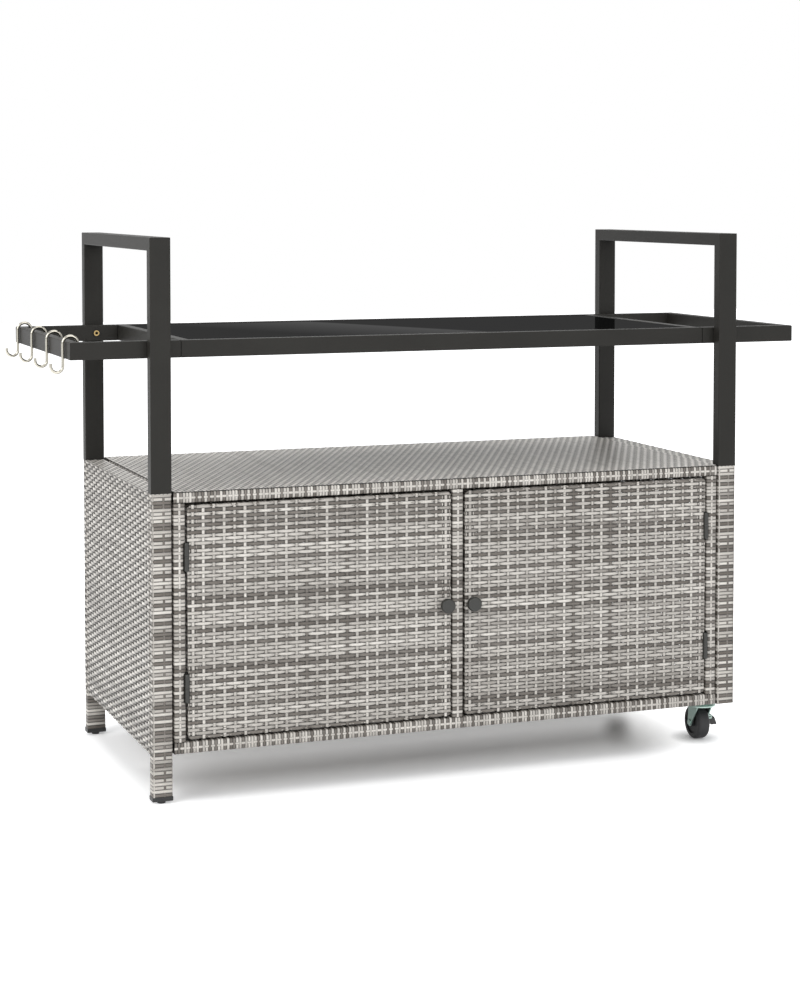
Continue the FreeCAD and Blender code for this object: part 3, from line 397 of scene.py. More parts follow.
def door_rows(count):
    """Few brown rows, and close together only at the top."""
    return striped_tones(count, DOOR_GAPS, DOOR_CLOSE_FROM * count)


def turn_tones(count):
    """On the wound bars the brown comes more often."""
    return striped_tones(count, TURN_GAPS, count)


def even_tones(low, high):
    """Tones that are all much alike."""
    return lambda count: [tone_draw.uniform(low, high) for _ in range(count)]


pale_tones = even_tones(0.7, 1.0)


def door_warps(count):
    """Pale upright strands, with two brown ones near the middle of the door."""
    tones = pale_tones(count)
    first = round(BROWN_WARP * count)
    for place in (first, first + BROWN_WARP_STEP):
        tones[place] = near(BROWN_GREY)
    return tones


print("tones", PALE, MIDDLE_GREY, BROWN_GREY)

# %% [markdown]
# Three numbers on each vertex tell the material what it needs: the strand's tone, how near the
# vertex is to the strand's edge, and its lift, which is lower where it dives under, for painted shade.

# %% Marks for the material


def mark(obj, name, values):
    """Write one number on each vertex, for the materials to read."""
    field = obj.data.attributes.new(name, "FLOAT", "POINT")
    field.data.foreach_set("value", values)


def mark_edges(obj, axis, middle, half):
    """Where each vertex lies across its strand: 0 on the middle line and 1 on the edges."""
    mark(obj, "edge", [abs(vertex.co[axis] - middle) / half for vertex in obj.data.vertices])


def mark_lift(obj, wave, dive_shade):
    """1 where a vertex's strand lies on top, and less where it dives under another, for painted shade
    there.
    """
    depths = [min(1, max(0, 0.5 - 0.5 * vertex.co.z / wave)) for vertex in obj.data.vertices]
    mark(obj, "lift", [1 - dive_shade * depth for depth in depths])


def mark_on_top(obj):
    """No painted shade anywhere."""
    mark(obj, "lift", [1.0] * len(obj.data.vertices))


def tone_copies(obj, tones):
    """One tone on all the vertices of each repeated strand."""
    each = len(obj.data.vertices) // len(tones)
    mark(obj, "tone", [value for value in tones for _ in range(each)])


print("marks: tone, edge and lift")

# %% [markdown]
# The materials are small node trees. Each step below adds one node or a few with their links, so
# a finish reads from top to bottom.

# %% Steps of a material


def new_material(name, colour, roughness, metallic=0.0):
    """A material with its main shader, ready for more nodes."""
    material = bpy.data.materials.new(name)
    material.use_nodes = True
    shader = material.node_tree.nodes["Principled BSDF"]
    shader.inputs["Base Color"].default_value = (*colour, 1)
    shader.inputs["Roughness"].default_value = roughness
    shader.inputs["Metallic"].default_value = metallic
    return material, material.node_tree, shader


def grain(tree, scale, detail, stretch=(1, 1, 1)):
    """A noise on the object's own coordinates, in lumps per metre."""
    place = tree.nodes.new("ShaderNodeTexCoord")
    mapping = tree.nodes.new("ShaderNodeMapping")
    mapping.inputs["Scale"].default_value = stretch
    noise = tree.nodes.new("ShaderNodeTexNoise")
    noise.inputs["Scale"].default_value = scale
    noise.inputs["Detail"].default_value = detail
    tree.links.new(place.outputs["Object"], mapping.inputs["Vector"])
    tree.links.new(mapping.outputs["Vector"], noise.inputs["Vector"])
    return noise.outputs["Fac"]


def ramp(tree, value, stops):
    """Turn a value into a colour."""
    node = tree.nodes.new("ShaderNodeValToRGB")
    elements = node.color_ramp.elements
    while len(elements) < len(stops):
        elements.new(0.5)
    for element, (position, colour) in zip(elements, stops):
        element.position = position
        element.color = (*colour, 1)
    tree.links.new(value, node.inputs["Fac"])
    return node.outputs["Color"]


def grey(value):
    """A colour without hue."""
    return (value, value, value)


def multiply(tree, first, second):
    """Darken one colour by another."""
    mix = tree.nodes.new("ShaderNodeMix")
    mix.data_type = "RGBA"
    mix.blend_type = "MULTIPLY"
    mix.inputs["Factor"].default_value = 1
    tree.links.new(first, mix.inputs["A"])
    tree.links.new(second, mix.inputs["B"])
    return mix.outputs["Result"]


def bump(tree, shader, height, strength, distance):
    """Roughen a surface a little."""
    node = tree.nodes.new("ShaderNodeBump")
    node.inputs["Strength"].default_value = strength
    node.inputs["Distance"].default_value = distance
    tree.links.new(height, node.inputs["Height"])
    tree.links.new(node.outputs["Normal"], shader.inputs["Normal"])


def attribute(tree, name):
    """Read one of the marks."""
    node = tree.nodes.new("ShaderNodeAttribute")
    node.attribute_name = name
    return node.outputs["Fac"]


print("material steps ready")

# %% [markdown]
# One finish serves all the strands. Its noises change with the strand's tone, and two of them are
# drawn out along the strand, which gives streaks and fibres. The colour holds painted shade: it
# darkens towards the edges of a strand, as if it were round, and where the strand goes under another.

# %% Strand finish
NOISE_STEP = 60
NOISE_RANGE = (0.3, 0.7)
ALONG_SCALE = (7, 7, 7)
ACROSS_SCALE = 4
DRIFT, STREAK, FIBRE = 0.16, 0.12, 0.28
# Past 0.8 the colours lighten further, for the tones above 1 that are painted sheen
STRAND_COLOURS = [
    (0.0, (0.112, 0.096, 0.080)),
    (0.4, (0.30, 0.276, 0.248)),
    (0.8, (0.71, 0.672, 0.615)),
    (1.0, (0.90, 0.86, 0.80)),
]
# Painted shade: a strand darkens towards its edges, as if it were round
PAINTED_EDGE_SHADE = [(0.0, grey(1.0)), (0.5, grey(0.95)), (0.8, grey(0.6)), (1.0, grey(0.2))]
# Painted shade: a strand darkens where it dives under another
DIVE_SHADE_COLOURS = [(0.0, grey(0.14)), (0.5, grey(0.66)), (0.85, grey(1.0))]
STRAND_ROUGHNESS = [(0.3, grey(0.34)), (0.7, grey(0.5))]


def own_noise(tree, tone, vector, scale, detail):
    """A noise that is different on each strand, because the strand's tone is its fourth coordinate."""
    noise = tree.nodes.new("ShaderNodeTexNoise")
    noise.noise_dimensions = "4D"
    noise.inputs["Scale"].default_value = scale
    noise.inputs["Detail"].default_value = detail
    tree.links.new(scaled(tree, tone, 0, LIGHTEST, 0, NOISE_STEP * LIGHTEST), noise.inputs["W"])
    tree.links.new(vector, noise.inputs["Vector"])
    return noise.outputs["Fac"]


def along_and_across(tree, place, edge):
    """A vector that changes fast across a strand and slowly along it, whichever way the strand runs."""
    both = tree.nodes.new("ShaderNodeCombineXYZ")
    tree.links.new(vector_step(tree, "DOT_PRODUCT", place, ALONG_SCALE), both.inputs["X"])
    tree.links.new(scaled(tree, edge, 0, 1, 0, ACROSS_SCALE), both.inputs["Y"])
    return both.outputs["Vector"]


def swing(tree, noise, most):
    """Turn a noise into a change of tone, at most so much either way."""
    return scaled(tree, noise, *NOISE_RANGE, -most, most)


def strand_finish():
    material, tree, shader = new_material("resin_strand", (0.5, 0.48, 0.45), 0.5)
    tone = attribute(tree, "tone")
    edge = attribute(tree, "edge")
    place = tree.nodes.new("ShaderNodeTexCoord").outputs["Object"]
    strand = along_and_across(tree, place, edge)
    drift = own_noise(tree, tone, place, scale=5, detail=1)
    streaks = own_noise(tree, tone, strand, scale=1, detail=2)
    fibres = own_noise(tree, tone, strand, scale=9, detail=3)
    changed = tone
    for noise, most in ((drift, DRIFT), (streaks, STREAK), (fibres, FIBRE)):
        changed = value_step(tree, "ADD", changed, swing(tree, noise, most))
    tone_colour = ramp(tree, scaled(tree, changed, 0, LIGHTEST, 0, 1), STRAND_COLOURS)
    # Painted shade towards the edges of each strand
    edge_shaded = multiply(tree, tone_colour, ramp(tree, edge, PAINTED_EDGE_SHADE))
    # Painted shade where the strand dives under another
    dive_shaded = multiply(tree, edge_shaded, ramp(tree, attribute(tree, "lift"), DIVE_SHADE_COLOURS))
    tree.links.new(dive_shaded, shader.inputs["Base Color"])
    tree.links.new(ramp(tree, streaks, STRAND_ROUGHNESS), shader.inputs["Roughness"])
    bump(tree, shader, streaks, strength=0.3, distance=0.4 * MM)
    return material


resin_strand = strand_finish()
print("strand finish", resin_strand.name)

# %% [markdown]
# A woven panel has upright strands, the warp, and rows that go over one and under the next.
# One row is modelled from a grid: its columns are raised and lowered by turns, and then it is
# thickened. A second row goes the opposite way, and both are repeated up the panel.
# Weaving each strand on its own would take far longer and look the same.

# %% Weave a flat panel
ROW_PITCH = 6.95 * MM
WARP_PITCH = 20.6 * MM
WARP_WIDTH = 6.2 * MM
SKIN = 2.5 * MM
STRAND_THICK = 0.6 * MM
CROWN = 0.35 * MM
# How much of its pitch a row fills, and which share of its width each edge moves in under a warp
LOOSE_FILL, SNUG_FILL = 0.92, 0.985
LOOSE, SNUG = 0.16, 0
FLAT_SHARE = 0.01


def strip(name, length, width, columns):
    """A flat strip on the ground, with a raised middle line."""
    bpy.ops.mesh.primitive_grid_add(x_subdivisions=columns, y_subdivisions=2, size=1)
    obj = bpy.context.object
    obj.name = name
    obj.scale = (length, width, 1)
    bpy.ops.object.transform_apply(location=False, rotation=False, scale=True)
    shift(obj, lambda co: abs(co.y) < width / 4, (0, 0, CROWN))
    mark_edges(obj, 1, 0, width / 2)
    return obj


class Cloth:
    """How one kind of panel is woven: its tones, how its rows wave and narrow, and the painted shade where
    they dive under.
    """

    def __init__(self, rows, warps, wave, dive_shade, fine, pinch, row_pitch=ROW_PITCH, warp_pitch=WARP_PITCH):
        self.rows = rows
        self.warps = warps
        self.wave = wave
        self.dive_shade = dive_shade
        self.fine = fine
        self.pinch = pinch
        self.row_pitch = row_pitch
        self.warp_pitch = warp_pitch


def in_columns(length, step, period, place):
    """A test for the columns of a strip that have one place in each period."""
    return lambda co: round((co.x + length / 2) / step) % period == place


def narrow(obj, test, amount):
    """Pull both edges of a strip inwards at the picked columns."""
    shift(obj, lambda co: test(co) and co.y > amount, (0, -amount, 0))
    shift(obj, lambda co: test(co) and co.y < -amount, (0, amount, 0))


def wavy_row(name, length, width, warps, cloth, up):
    """One row that rises over every other warp; up says whether it starts over or under."""
    fine = cloth.fine
    columns = warps * fine
    obj = strip(name, length, width, columns)
    for place in range(2 * fine):
        height = cloth.wave * math.cos(math.pi * (place - fine / 2) / fine) * up
        if abs(height) < cloth.wave * FLAT_SHARE:
            continue
        test = in_columns(length, length / columns, 2 * fine, place)
        shift(obj, test, (0, 0, height))
        if height < 0 and cloth.pinch:
            narrow(obj, test, cloth.pinch * width * -height / cloth.wave)
    mark_lift(obj, cloth.wave, cloth.dive_shade)
    thicken(obj, STRAND_THICK, 0)
    return obj


def woven_panel(name, length, height, cloth):
    """Rows along X, stacked along Y, seen from above; the highest point is at Z = 0."""
    warps = max(1, round(length / cloth.warp_pitch))
    rows = max(2, round(height / cloth.row_pitch))
    pitch = height / rows
    depth = cloth.wave + CROWN + STRAND_THICK / 2
    tones = cloth.rows(rows)
    fill = LOOSE_FILL if cloth.pinch else SNUG_FILL
    parts = []
    for parity, up in ((0, 1), (1, -1)):
        row_tones = tones[parity::2]
        row = wavy_row(f"{name}_row{parity}", length, fill * pitch, warps, cloth, up)
        first = -height / 2 + (parity + 0.5) * pitch
        put(row, (0, 0, 0), (0, first, -depth))
        repeat(row, (0, 2 * pitch, 0), len(row_tones))
        tone_copies(row, row_tones)
        parts.append(row)
    warp = strip(name + "_warp", height, WARP_WIDTH, 1)
    mark_on_top(warp)
    thicken(warp, STRAND_THICK, 0)
    put(warp, (0, 0, 90), ((-warps + 1) / 2 * length / warps, 0, -depth))
    repeat(warp, (length / warps, 0, 0), warps)
    tone_copies(warp, cloth.warps(warps))
    parts.append(warp)
    return join(name, parts)


print("row pitch", ROW_PITCH, "warp pitch", WARP_PITCH)

# %% [markdown]
# Around each tube the strand is wound like thread on a reel, turn beside turn.
# One turn is a rectangle with cut corners whose edges are extruded twice, with the middle line
# pushed out a little. Where a woven panel covers one side of the tube, that side is deleted.
# A thin strand that runs over and under the turns locks them.

# %% Wind strands around a tube
SUNK = 0.8 * MM
RAIL_PITCH = 6.0 * MM
TURN_THICK = 0.9 * MM
TURN_CORNER = 2.0 * MM
LOCK_THICK = 0.55 * MM
WAYS = {"x": Vector((1, 0, 0)), "y": Vector((0, 1, 0))}
SAME_WAY = 0.9


def one_turn(name, wide, thick, width, bare):
    """One turn around Z; bare lists the sides, such as '-x', that stay open."""
    bpy.ops.mesh.primitive_plane_add(size=1)
    obj = bpy.context.object
    obj.name = name
    obj.scale = (wide - 2 * SUNK, thick - 2 * SUNK, 1)
    bpy.ops.object.transform_apply(location=False, rotation=False, scale=True)
    bpy.ops.object.mode_set(mode="EDIT")
    bpy.ops.mesh.select_all(action="SELECT")
    bpy.ops.mesh.bevel(offset=TURN_CORNER, segments=1, affect="VERTICES")
    bpy.ops.mesh.select_all(action="SELECT")
    bpy.ops.mesh.delete(type="ONLY_FACE")
    bpy.ops.mesh.select_all(action="SELECT")
    for _ in range(2):
        bpy.ops.mesh.extrude_edges_move(TRANSFORM_OT_translate={"value": (0, 0, width / 2)})
    bpy.ops.mesh.select_all(action="SELECT")
    bpy.ops.mesh.normals_make_consistent(inside=False)
    done()
    pick(obj, lambda co: abs(co.z - width / 2) < width / 8)
    bpy.ops.transform.resize(value=(1 + 2 * CROWN / wide, 1 + 2 * CROWN / thick, 1))
    done()
    if bare:
        strip_sides(obj, bare)
    mark_edges(obj, 2, width / 2, width / 2)
    mark_on_top(obj)
    thicken(obj, TURN_THICK, -1)
    return obj


def strip_sides(obj, bare):
    """Delete the faces that look the given ways."""
    only(obj)
    bpy.ops.object.mode_set(mode="EDIT")
    bpy.ops.mesh.select_mode(type="FACE")
    bpy.ops.mesh.select_all(action="DESELECT")
    bpy.ops.object.mode_set(mode="OBJECT")
    for face in obj.data.polygons:
        for side in bare:
            way = WAYS[side[1]] * (1 if side[0] == "+" else -1)
            if face.normal.dot(way) > SAME_WAY:
                face.select = True
    bpy.ops.object.mode_set(mode="EDIT")
    bpy.ops.mesh.delete(type="FACE")
    bpy.ops.mesh.select_mode(type="VERT")
    done()


def winding(name, wide, thick, length, pitch, bare):
    """Turns side by side along Z, from 0 to the length, centred on the axis."""
    count = max(1, round(length / pitch))
    pitch = length / count
    gap = (1 - LOOSE_FILL) / 2 * pitch
    obj = one_turn(name, wide, thick, pitch - 2 * gap, bare)
    put(obj, (0, 0, 0), (0, 0, gap))
    repeat(obj, (0, 0, pitch), count)
    tone_copies(obj, turn_tones(count))
    return obj


def lock_strand(name, length, pitch, width, tone):
    """A thin strand that runs over one turn and under the next, along X, with its top near Z = 0."""
    turns = max(2, round(length / pitch))
    obj = strip(name, length, width, 2 * turns)
    low = -SUNK - LOCK_THICK - CROWN
    heights = (low / 2, -CROWN, low / 2, low)
    for place, height in enumerate(heights):
        shift(obj, in_columns(length, length / turns / 2, len(heights), place), (0, 0, height))
    mark_on_top(obj)
    thicken(obj, LOCK_THICK, -1)
    tone_copies(obj, [tone])
    return obj


print("turn thickness", TURN_THICK)

# %% [markdown]
# Panels and wound bars lie along all three axes, but each was modelled flat or upright.
# These helpers turn and place them from two corners, so the cells below can read the corners of
# the solid that each piece stands for and give nothing else.

# %% Place panels and bars by their corners
FACING = {
    "-y": (90, 0, 0),
    "+y": (90, 0, 180),
    "-x": (90, 0, -90),
    "+x": (90, 0, 90),
    "+z": (0, 0, 90),
}
LOCAL_SIDES = {
    "x": {"+z": "-x", "-z": "+x", "+y": "+y", "-y": "-y"},
    "y": {"+z": "-y", "-z": "+y", "+x": "+x", "-x": "-x"},
    "z": {"+x": "+x", "-x": "-x", "+y": "+y", "-y": "-y"},
}
BAR_TURNS = {"x": (0, 90, 0), "y": (-90, 0, 0), "z": (0, 0, 0)}
SMOOTH_BELOW = math.radians(50)
CART = "cart"


def panel_at(name, low, high, facing, cloth):
    """A woven panel on one face of a box; its rows are level, or run to the back on a top face."""
    low, high = Vector(low), Vector(high)
    size = high - low
    centre = (low + high) / 2
    axis = "xyz".index(facing[1])
    length = size.x if facing[1] == "y" else size.y
    height = size.x if facing[1] == "z" else size.z
    panel = woven_panel(name, length, height, cloth)
    centre[axis] = high[axis] if facing[0] == "+" else low[axis]
    put(panel, FACING[facing], centre)
    return panel


def bar_at(name, low, high, axis, bare=()):
    """A wound bar that fills a box and runs along one axis."""
    low, high = Vector(low), Vector(high)
    size = high - low
    wide, thick = {"x": (size.z, size.y), "y": (size.x, size.z), "z": (size.x, size.y)}[axis]
    along = "xyz".index(axis)
    sides = [LOCAL_SIDES[axis][side] for side in bare]
    pitch = RAIL_PITCH if axis == "x" else ROW_PITCH
    turns = winding(name, wide, thick, size[along], pitch, sides)
    start = (low + high) / 2
    start[along] = low[along]
    put(turns, BAR_TURNS[axis], start)
    return turns


def dress(piece, node, body):
    """Give a woven piece its finish, and let it stand for its solid."""
    only(piece)
    bpy.ops.object.shade_smooth_by_angle(angle=SMOOTH_BELOW)
    piece.data.materials.clear()
    piece.data.materials.append(resin_strand)
    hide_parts(node)
    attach(piece, body)
    triangles = sum(len(face.vertices) - 2 for face in piece.data.polygons)
    print(piece.name, "triangles", triangles)


print("panels face", sorted(FACING))

# %% [markdown]
# Each door is one woven panel over a tube frame with round corners. The strands run round the
# edges and close the back of the frame. The corners are cut with a slanting bisect, and the
# strands step back where the hinge barrels stand in the gap beside the door.

# %% Doors
RIM = 20.0 * MM
CORNER_CUT = 3.7 * MM
HINGE_LENGTH = 56.0 * MM
HINGE_STEP = 3.4 * MM
HINGE_REACH = 4.4 * MM
HINGE_DEPTH = 6.0 * MM
door_cloth = Cloth(door_rows, door_warps, wave=1.05 * MM, dive_shade=0.45, fine=3, pinch=LOOSE)
hinge_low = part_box("frame_hinges")[0].z - MM
hinge_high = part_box("left_door_hinges")[1].z + MM


def beside_hinge(co):
    """Whether a vertex is as high as one of the two hinges."""
    return hinge_low < co.z < hinge_low + HINGE_LENGTH or hinge_high - HINGE_LENGTH < co.z < hinge_high


def clear_hinge(piece, edge, inward, front):
    """Step the strands back from the hinge barrels; inward is the way into the piece along X."""

    def in_the_way(co):
        reach = (co.x - edge) * inward
        return beside_hinge(co) and -MM < reach < HINGE_REACH and co.y < front + HINGE_DEPTH

    shift(piece, in_the_way, (inward * HINGE_STEP, 0, 0))


def cut_corner(piece, corner, way):
    """Take off one corner of a door with a slanting plane."""
    only(piece)
    bpy.ops.object.mode_set(mode="EDIT")
    bpy.ops.mesh.select_all(action="SELECT")
    normal = Vector((way[0], 0, way[1])).normalized()
    point = Vector(corner) - normal * CORNER_CUT
    bpy.ops.mesh.bisect(plane_co=point, plane_no=normal, use_fill=True, clear_outer=True)
    done()


def woven_door(side):
    node = side + "_door_weave"
    low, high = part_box(node)
    front, back = low.y, high.y
    parts = [panel_at(node + "_face", low, high, "-y", door_cloth)]
    for end, x in (("a", low.x), ("b", high.x - RIM)):
        corners = (x, front, low.z), (x + RIM, back, high.z)
        parts.append(bar_at(f"{node}_stile_{end}", *corners, "z", ["-y"]))
    for end, z in (("a", low.z), ("b", high.z - RIM)):
        corners = (low.x + RIM, front, z), (high.x - RIM, back, z + RIM)
        parts.append(bar_at(f"{node}_rail_{end}", *corners, "x", ["-y"]))
    piece = join(side + "_door_wicker", parts)
    for x, way_x in ((low.x, -1), (high.x, 1)):
        for z, way_z in ((low.z, -1), (high.z, 1)):
            cut_corner(piece, (x, front, z), (way_x, way_z))
    if side == "left":
        clear_hinge(piece, low.x, 1, front)
    else:
        clear_hinge(piece, high.x, -1, front)
    dress(piece, node, side + "_door")


for side in ("left", "right"):
    woven_door(side)

# %% [markdown]
# A side panel has pale rows over dark warps, and its legs are wound at the pitch of its rows, with
# two thin strands up the front. Below the cabinet the left legs are wound all round. On top lies a
# narrow strip whose rows run from front to back, like those of the deck.
# The left panel is woven loosely, like the doors, with gaps between its strands. The right panel
# is snug.

# %% Side panels and legs
cabinet_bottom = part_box("front_weave")[0].z
foot_low, foot_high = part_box("front_leveller")
LEG_DEEP = foot_low.y + foot_high.y - 2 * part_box("left_side_weave")[0].y
# Share of the leg's width, width of the strand and its tone
LEG_LOCKS = ((0.08, 3.4 * MM, 0.85), (0.6, 4.6 * MM, 0.1))
side_warps = even_tones(0.05, 0.35)
# Painted sheen: these rows are lighter than the palest strands elsewhere, for the light and gloss on the
# deck
deck_rows_with_painted_sheen = even_tones(1.15, 1.25)
deck_warps = even_tones(0.3, 0.55)
side_cloth = {
    side: Cloth(pale_tones, side_warps, wave=1.7 * MM, dive_shade=1.0, fine=3, pinch=pinch)
    for side, pinch in (("left", LOOSE), ("right", SNUG))
}
deck_cloth = Cloth(deck_rows_with_painted_sheen, deck_warps, wave=0.5 * MM, dive_shade=0.95, fine=2, pinch=SNUG,
                   row_pitch=8.0 * MM, warp_pitch=15.5 * MM)


def leg_locks(node, places, front, low, high):
    """Thin strands that run up the front of a leg, over and under its turns."""
    locks = []
    for i, (x, width, tone) in enumerate(places):
        lock = lock_strand(f"{node}_lock{i}", high - low, ROW_PITCH, width, tone)
        put(lock, (90, -90, 0), (x, front, (low + high) / 2))
        locks.append(lock)
    return locks


def woven_side(side):
    node = side + "_side_weave"
    low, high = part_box(node)
    outer = "-x" if side == "left" else "+x"
    floor = (low.x, low.y, cabinet_bottom)
    parts = [panel_at(node + "_face", floor, high, outer, side_cloth[side])]
    parts.append(panel_at(node + "_top", (low.x, low.y, high.z), high, "+z", deck_cloth))
    for leg, front, back in (("front", low.y, low.y + LEG_DEEP), ("back", high.y - LEG_DEEP, high.y)):
        corners = (low.x, front, cabinet_bottom), (high.x, back, high.z)
        parts.append(bar_at(f"{node}_{leg}_leg", *corners, "z", [outer]))
        if side == "left":
            corners = (low.x, front, low.z), (high.x, back, cabinet_bottom)
            parts.append(bar_at(f"{node}_{leg}_foot", *corners, "z"))
    start, end = low.y + LEG_DEEP, high.y - LEG_DEEP
    corners = (low.x, start, high.z - LEG_DEEP), (high.x, end, high.z)
    parts.append(bar_at(node + "_rail_top", *corners, "y", [outer, "+z"]))
    corners = (low.x, start, cabinet_bottom), (high.x, end, cabinet_bottom + LEG_DEEP)
    parts.append(bar_at(node + "_rail_low", *corners, "y", [outer]))
    leg_width = high.x - low.x
    places = [(low.x + share * leg_width, width, tone) for share, width, tone in LEG_LOCKS]
    parts += leg_locks(node, places, low.y, cabinet_bottom, high.z)
    if side == "left":
        parts += leg_locks(node + "_foot", places, low.y, low.z, cabinet_bottom)
    dress(join(side + "_side_wicker", parts), node, CART)


for side in ("left", "right"):
    woven_side(side)

# %% [markdown]
# The front of the cabinet is a ladder of wound bars: two long rails and three stiles.
# A pale strand runs along the middle of each and locks its turns, as the photograph shows.

# %% Front frame
STRIP = 23.0 * MM
LOCK_WIDTH = 5.0 * MM
LOCK_TONE = 0.9


def between_rails(low, high):
    """The heights at which the low rail ends and the top rail begins."""
    return low.z + STRIP, high.z - STRIP + SKIN


def ladder(node, low, high, top_bare, rail_bare, stile_bare):
    """Rails along X at the top and bottom, with three stiles between."""
    over, under = between_rails(low, high)
    parts = [
        bar_at(node + "_rail_low", low, (high.x, high.y, over), "x", rail_bare),
        bar_at(node + "_rail_top", (low.x, low.y, under), high, "x", top_bare),
    ]
    middle = (low.x + high.x - STRIP) / 2
    for end, x in (("a", low.x), ("b", middle), ("c", high.x - STRIP)):
        corners = (x, low.y, over), (x + STRIP, high.y, under)
        parts.append(bar_at(f"{node}_stile_{end}", *corners, "z", stile_bare))
    return parts


def front_locks(node, low, high):
    """The pale strands along the middle of the rails and the stiles."""
    parts = []
    over, under = between_rails(low, high)
    for end, z in (("a", (low.z + over) / 2), ("b", (under + high.z) / 2)):
        lock = lock_strand(f"{node}_lock_{end}", high.x - low.x, RAIL_PITCH, LOCK_WIDTH, LOCK_TONE)
        put(lock, (90, 0, 0), ((low.x + high.x) / 2, low.y, z))
        parts.append(lock)
    for x in (low.x + STRIP / 2, (low.x + high.x) / 2, high.x - STRIP / 2):
        parts += leg_locks(f"{node}_stile", [(x, LOCK_WIDTH, LOCK_TONE)], low.y, over, under)
    return parts


def woven_front():
    node = "front_weave"
    low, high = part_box(node)
    parts = ladder(node, low, high, ["+z"], [], []) + front_locks(node, low, high)
    piece = join("front_wicker", parts)
    clear_hinge(piece, low.x + STRIP, -1, low.y)
    clear_hinge(piece, high.x - STRIP, 1, low.y)
    dress(piece, node, CART)


woven_front()

# %% [markdown]
# Back, deck and bottom are large panels over wound bars. Their rows have two columns from warp to
# warp, where those of the doors have three, which keeps the meshes small. The rows of the deck run
# from front to back, and its panel stops a little short of the edges, which leaves a seam.

# %% Back, deck and bottom
back_cloth = Cloth(door_rows, pale_tones, wave=0.95 * MM, dive_shade=0.3, fine=2, pinch=SNUG)
SEAM = Vector((1.5 * MM, 2.0 * MM, 0))
DECK_BAYS, BOTTOM_BAYS = 3, 2


def woven_back():
    node = "back_weave"
    low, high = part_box(node)
    parts = ladder(node, low, high, ["+z", "+y"], ["+y"], ["+y"])
    parts.append(panel_at(node + "_face", low, high, "+y", back_cloth))
    dress(join("back_wicker", parts), node, CART)


def tray(node, low, high, bays):
    """Wound bars of a level frame, open towards the panel above them."""
    parts = []
    under = high.z - SKIN
    for end, y in (("a", low.y), ("b", high.y - STRIP)):
        corners = (low.x, y, low.z), (high.x, y + STRIP, under)
        parts.append(bar_at(f"{node}_rail_{end}", *corners, "x", ["+z"]))
    pitch = (high.x - low.x - STRIP) / bays
    for i in range(bays + 1):
        x = low.x + i * pitch
        corners = (x, low.y + STRIP, low.z), (x + STRIP, high.y - STRIP, under)
        parts.append(bar_at(f"{node}_cross_{i}", *corners, "y", ["+z"]))
    return parts


def woven_deck():
    node = "deck_weave"
    low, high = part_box(node)
    inset = Vector((0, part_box("deck_frame")[0].y - SKIN - low.y, 0))
    parts = tray(node, low + inset, high - inset, DECK_BAYS)
    parts.append(panel_at(node + "_face", low + SEAM, high - SEAM, "+z", deck_cloth))
    dress(join("deck_wicker", parts), node, CART)


def woven_bottom():
    node = "bottom_weave"
    low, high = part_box(node)
    parts = tray(node, low, high, BOTTOM_BAYS)
    parts.append(panel_at(node + "_face", low, high, "+z", deck_cloth))
    dress(join("bottom_wicker", parts), node, CART)


woven_back()
woven_deck()
woven_bottom()

# %% [markdown]
# The tubes are powder coated in charcoal: a satin film with a fine orange peel.
# A plain grey would look like plastic, so the colour wanders a little and the film gets a bump.

# %% Paint
PAINT_SPECULAR = 0.2
PAINT_COLOURS = [(0.3, (0.015, 0.0141, 0.012)), (0.7, (0.019, 0.018, 0.0155))]
PAINT_ROUGHNESS = [(0.3, grey(0.42)), (0.7, grey(0.58))]


def powder_coat():
    material, tree, shader = new_material("charcoal_powder_coat", (0.017, 0.016, 0.0138), 0.5)
    cloud = grain(tree, scale=9, detail=3)
    tree.links.new(ramp(tree, cloud, PAINT_COLOURS), shader.inputs["Base Color"])
    peel = grain(tree, scale=900, detail=2)
    tree.links.new(ramp(tree, peel, PAINT_ROUGHNESS), shader.inputs["Roughness"])
    bump(tree, shader, peel, strength=0.15, distance=0.3 * MM)
    shader.inputs["Specular IOR Level"].default_value = PAINT_SPECULAR
    return material


frame_paint = powder_coat()
print("paint", frame_paint.name)

# %% [markdown]
# Seen so flat, clear black glass would mirror the white room and turn pale. In the photograph it
# stays nearly black. So the glass is a black body with a weak mirror added, and the slanting line
# is part of the mirror's colour.

# %% Glass
# Painted reflection: the mirror's colour is paler on one side of a slanting line
SLANT = (0.894, 0.448, 0)
SLANT_REACH = 0.5
GLASS_MIRROR = [(0.2, grey(0.031)), (0.49, grey(0.078)), (0.51, grey(0.032))]


def black_glass():
    """Black glass with a faint mirror image, paler on one side of a slanting line as a painted reflection.
    """
    material, tree, shader = new_material("black_glass", (0.004, 0.004, 0.004), 0.4)
    shader.inputs["Specular IOR Level"].default_value = 0
    place = tree.nodes.new("ShaderNodeTexCoord").outputs["Object"]
    across = vector_step(tree, "DOT_PRODUCT", place, SLANT)
    side_of_line = scaled(tree, across, -SLANT_REACH, SLANT_REACH, 0, 1)
    smear = scaled(tree, grain(tree, scale=14, detail=4, stretch=(1, 2.5, 1)), 0.35, 0.75, 0.03, 0.08)
    mirror = tree.nodes.new("ShaderNodeBsdfAnisotropic")
    tree.links.new(ramp(tree, side_of_line, GLASS_MIRROR), mirror.inputs["Color"])
    tree.links.new(smear, mirror.inputs["Roughness"])
    both = tree.nodes.new("ShaderNodeAddShader")
    tree.links.new(shader.outputs[0], both.inputs[0])
    tree.links.new(mirror.outputs[0], both.inputs[1])
    tree.links.new(both.outputs[0], tree.nodes["Material Output"].inputs["Surface"])
    return material


glass = black_glass()
print("glass", glass.name)

# %% [markdown]
# Metal gets fine scratches, and moulded parts a speckle. The shadow in the sockets of the post
# bolts is part of the finish, measured from each bolt's axis.

# %% Metal, rubber and plastic
HEAD_RADIUS = 6.0 * MM
SOCKET_DARK = grey(0.01)
HEAD_EDGE = grey(0.03)


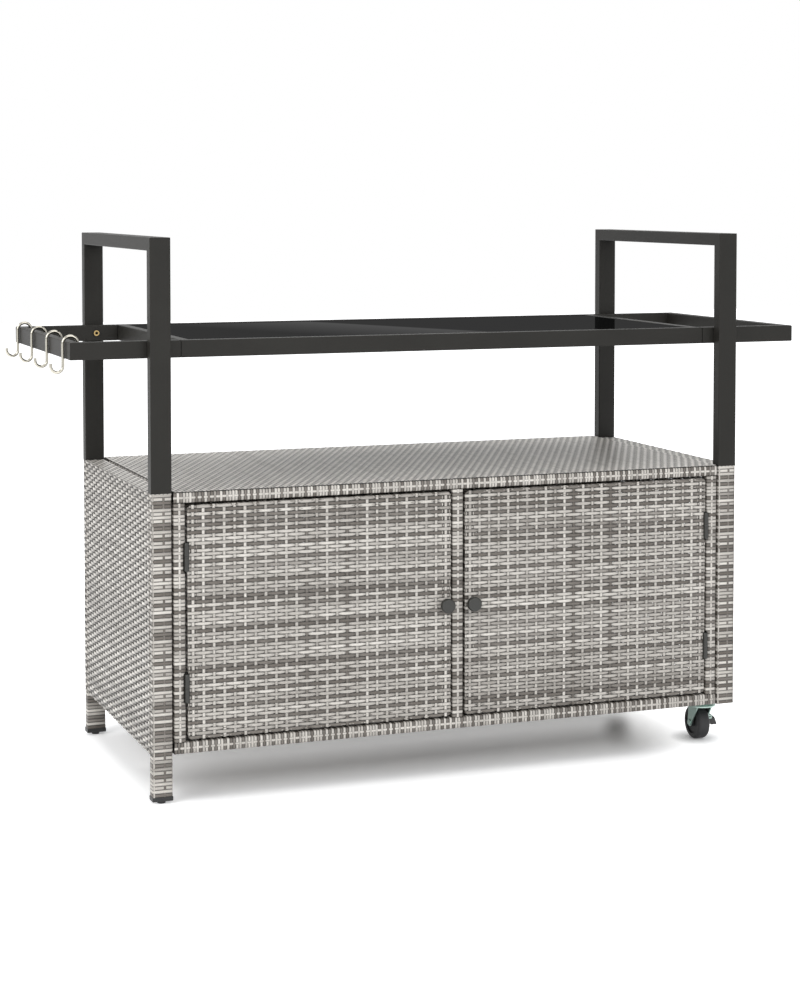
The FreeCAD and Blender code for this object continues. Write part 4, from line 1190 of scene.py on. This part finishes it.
def brushed(name, colour, roughness, scratch):
    material, tree, shader = new_material(name, colour, roughness, 1.0)
    lines = grain(tree, scratch, detail=3, stretch=(1, 1, 6))
    rough = ramp(tree, lines, [(0.3, grey(roughness * 0.75)), (0.7, grey(roughness * 1.3))])
    tree.links.new(rough, shader.inputs["Roughness"])
    bump(tree, shader, lines, strength=0.06, distance=0.2 * MM)
    return material


def socket_head(name, colour, roughness, scratch):
    """Brushed like the others, with the socket of each post bolt in shadow."""
    material = brushed(name, colour, roughness, scratch)
    tree = material.node_tree
    low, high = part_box("post_bolts")
    reach = (high.x - low.x) / 2 - HEAD_RADIUS
    place = tree.nodes.new("ShaderNodeTexCoord").outputs["Object"]
    from_middle = vector_step(tree, "ABSOLUTE", vector_step(tree, "SUBTRACT", place, (low + high) / 2))
    from_head = vector_step(tree, "SUBTRACT", from_middle, (reach, 0, 0))
    from_axis = vector_step(tree, "MULTIPLY", from_head, (1, 0, 1))
    radius = scaled(tree, vector_step(tree, "LENGTH", from_axis), 0, HEAD_RADIUS, 0, 1)
    shade = ramp(tree, radius, [(0.5, SOCKET_DARK), (0.62, colour), (0.9, colour), (1.0, HEAD_EDGE)])
    tree.links.new(shade, tree.nodes["Principled BSDF"].inputs["Base Color"])
    return material


def moulded(name, colour, roughness, scale):
    material, tree, shader = new_material(name, colour, roughness)
    speckle = grain(tree, scale, detail=3)
    dark = [0.8 * part for part in colour]
    light = [1.2 * part for part in colour]
    tree.links.new(ramp(tree, speckle, [(0.3, dark), (0.7, light)]), shader.inputs["Base Color"])
    bump(tree, shader, speckle, strength=0.2, distance=0.3 * MM)
    return material


finishes = {
    "frame_paint": frame_paint,
    "wicker": resin_strand,
    "dark_metal": moulded("bronze_black_lacquer", (0.018, 0.018, 0.015), 0.42, 700),
    "glass": glass,
    "zinc": brushed("zinc_plate", (0.36, 0.46, 0.42), 0.42, 240),
    "wheel_rubber": moulded("tread_rubber", (0.012, 0.012, 0.013), 0.6, 600),
    "black_plastic": moulded("black_nylon", (0.012, 0.012, 0.012), 0.45, 800),
    "brass": socket_head("yellow_zinc", (0.50, 0.36, 0.16), 0.3, 300),
    "hook_steel": brushed("nickel_wire", (0.43, 0.41, 0.355), 0.14, 260),
}
for entry in frame["record"]["subparts"]:
    for holder in nodes[entry["node"]].material_slots:
        holder.material = finishes[entry["material_slot"]]
print("finishes", sorted(finishes))
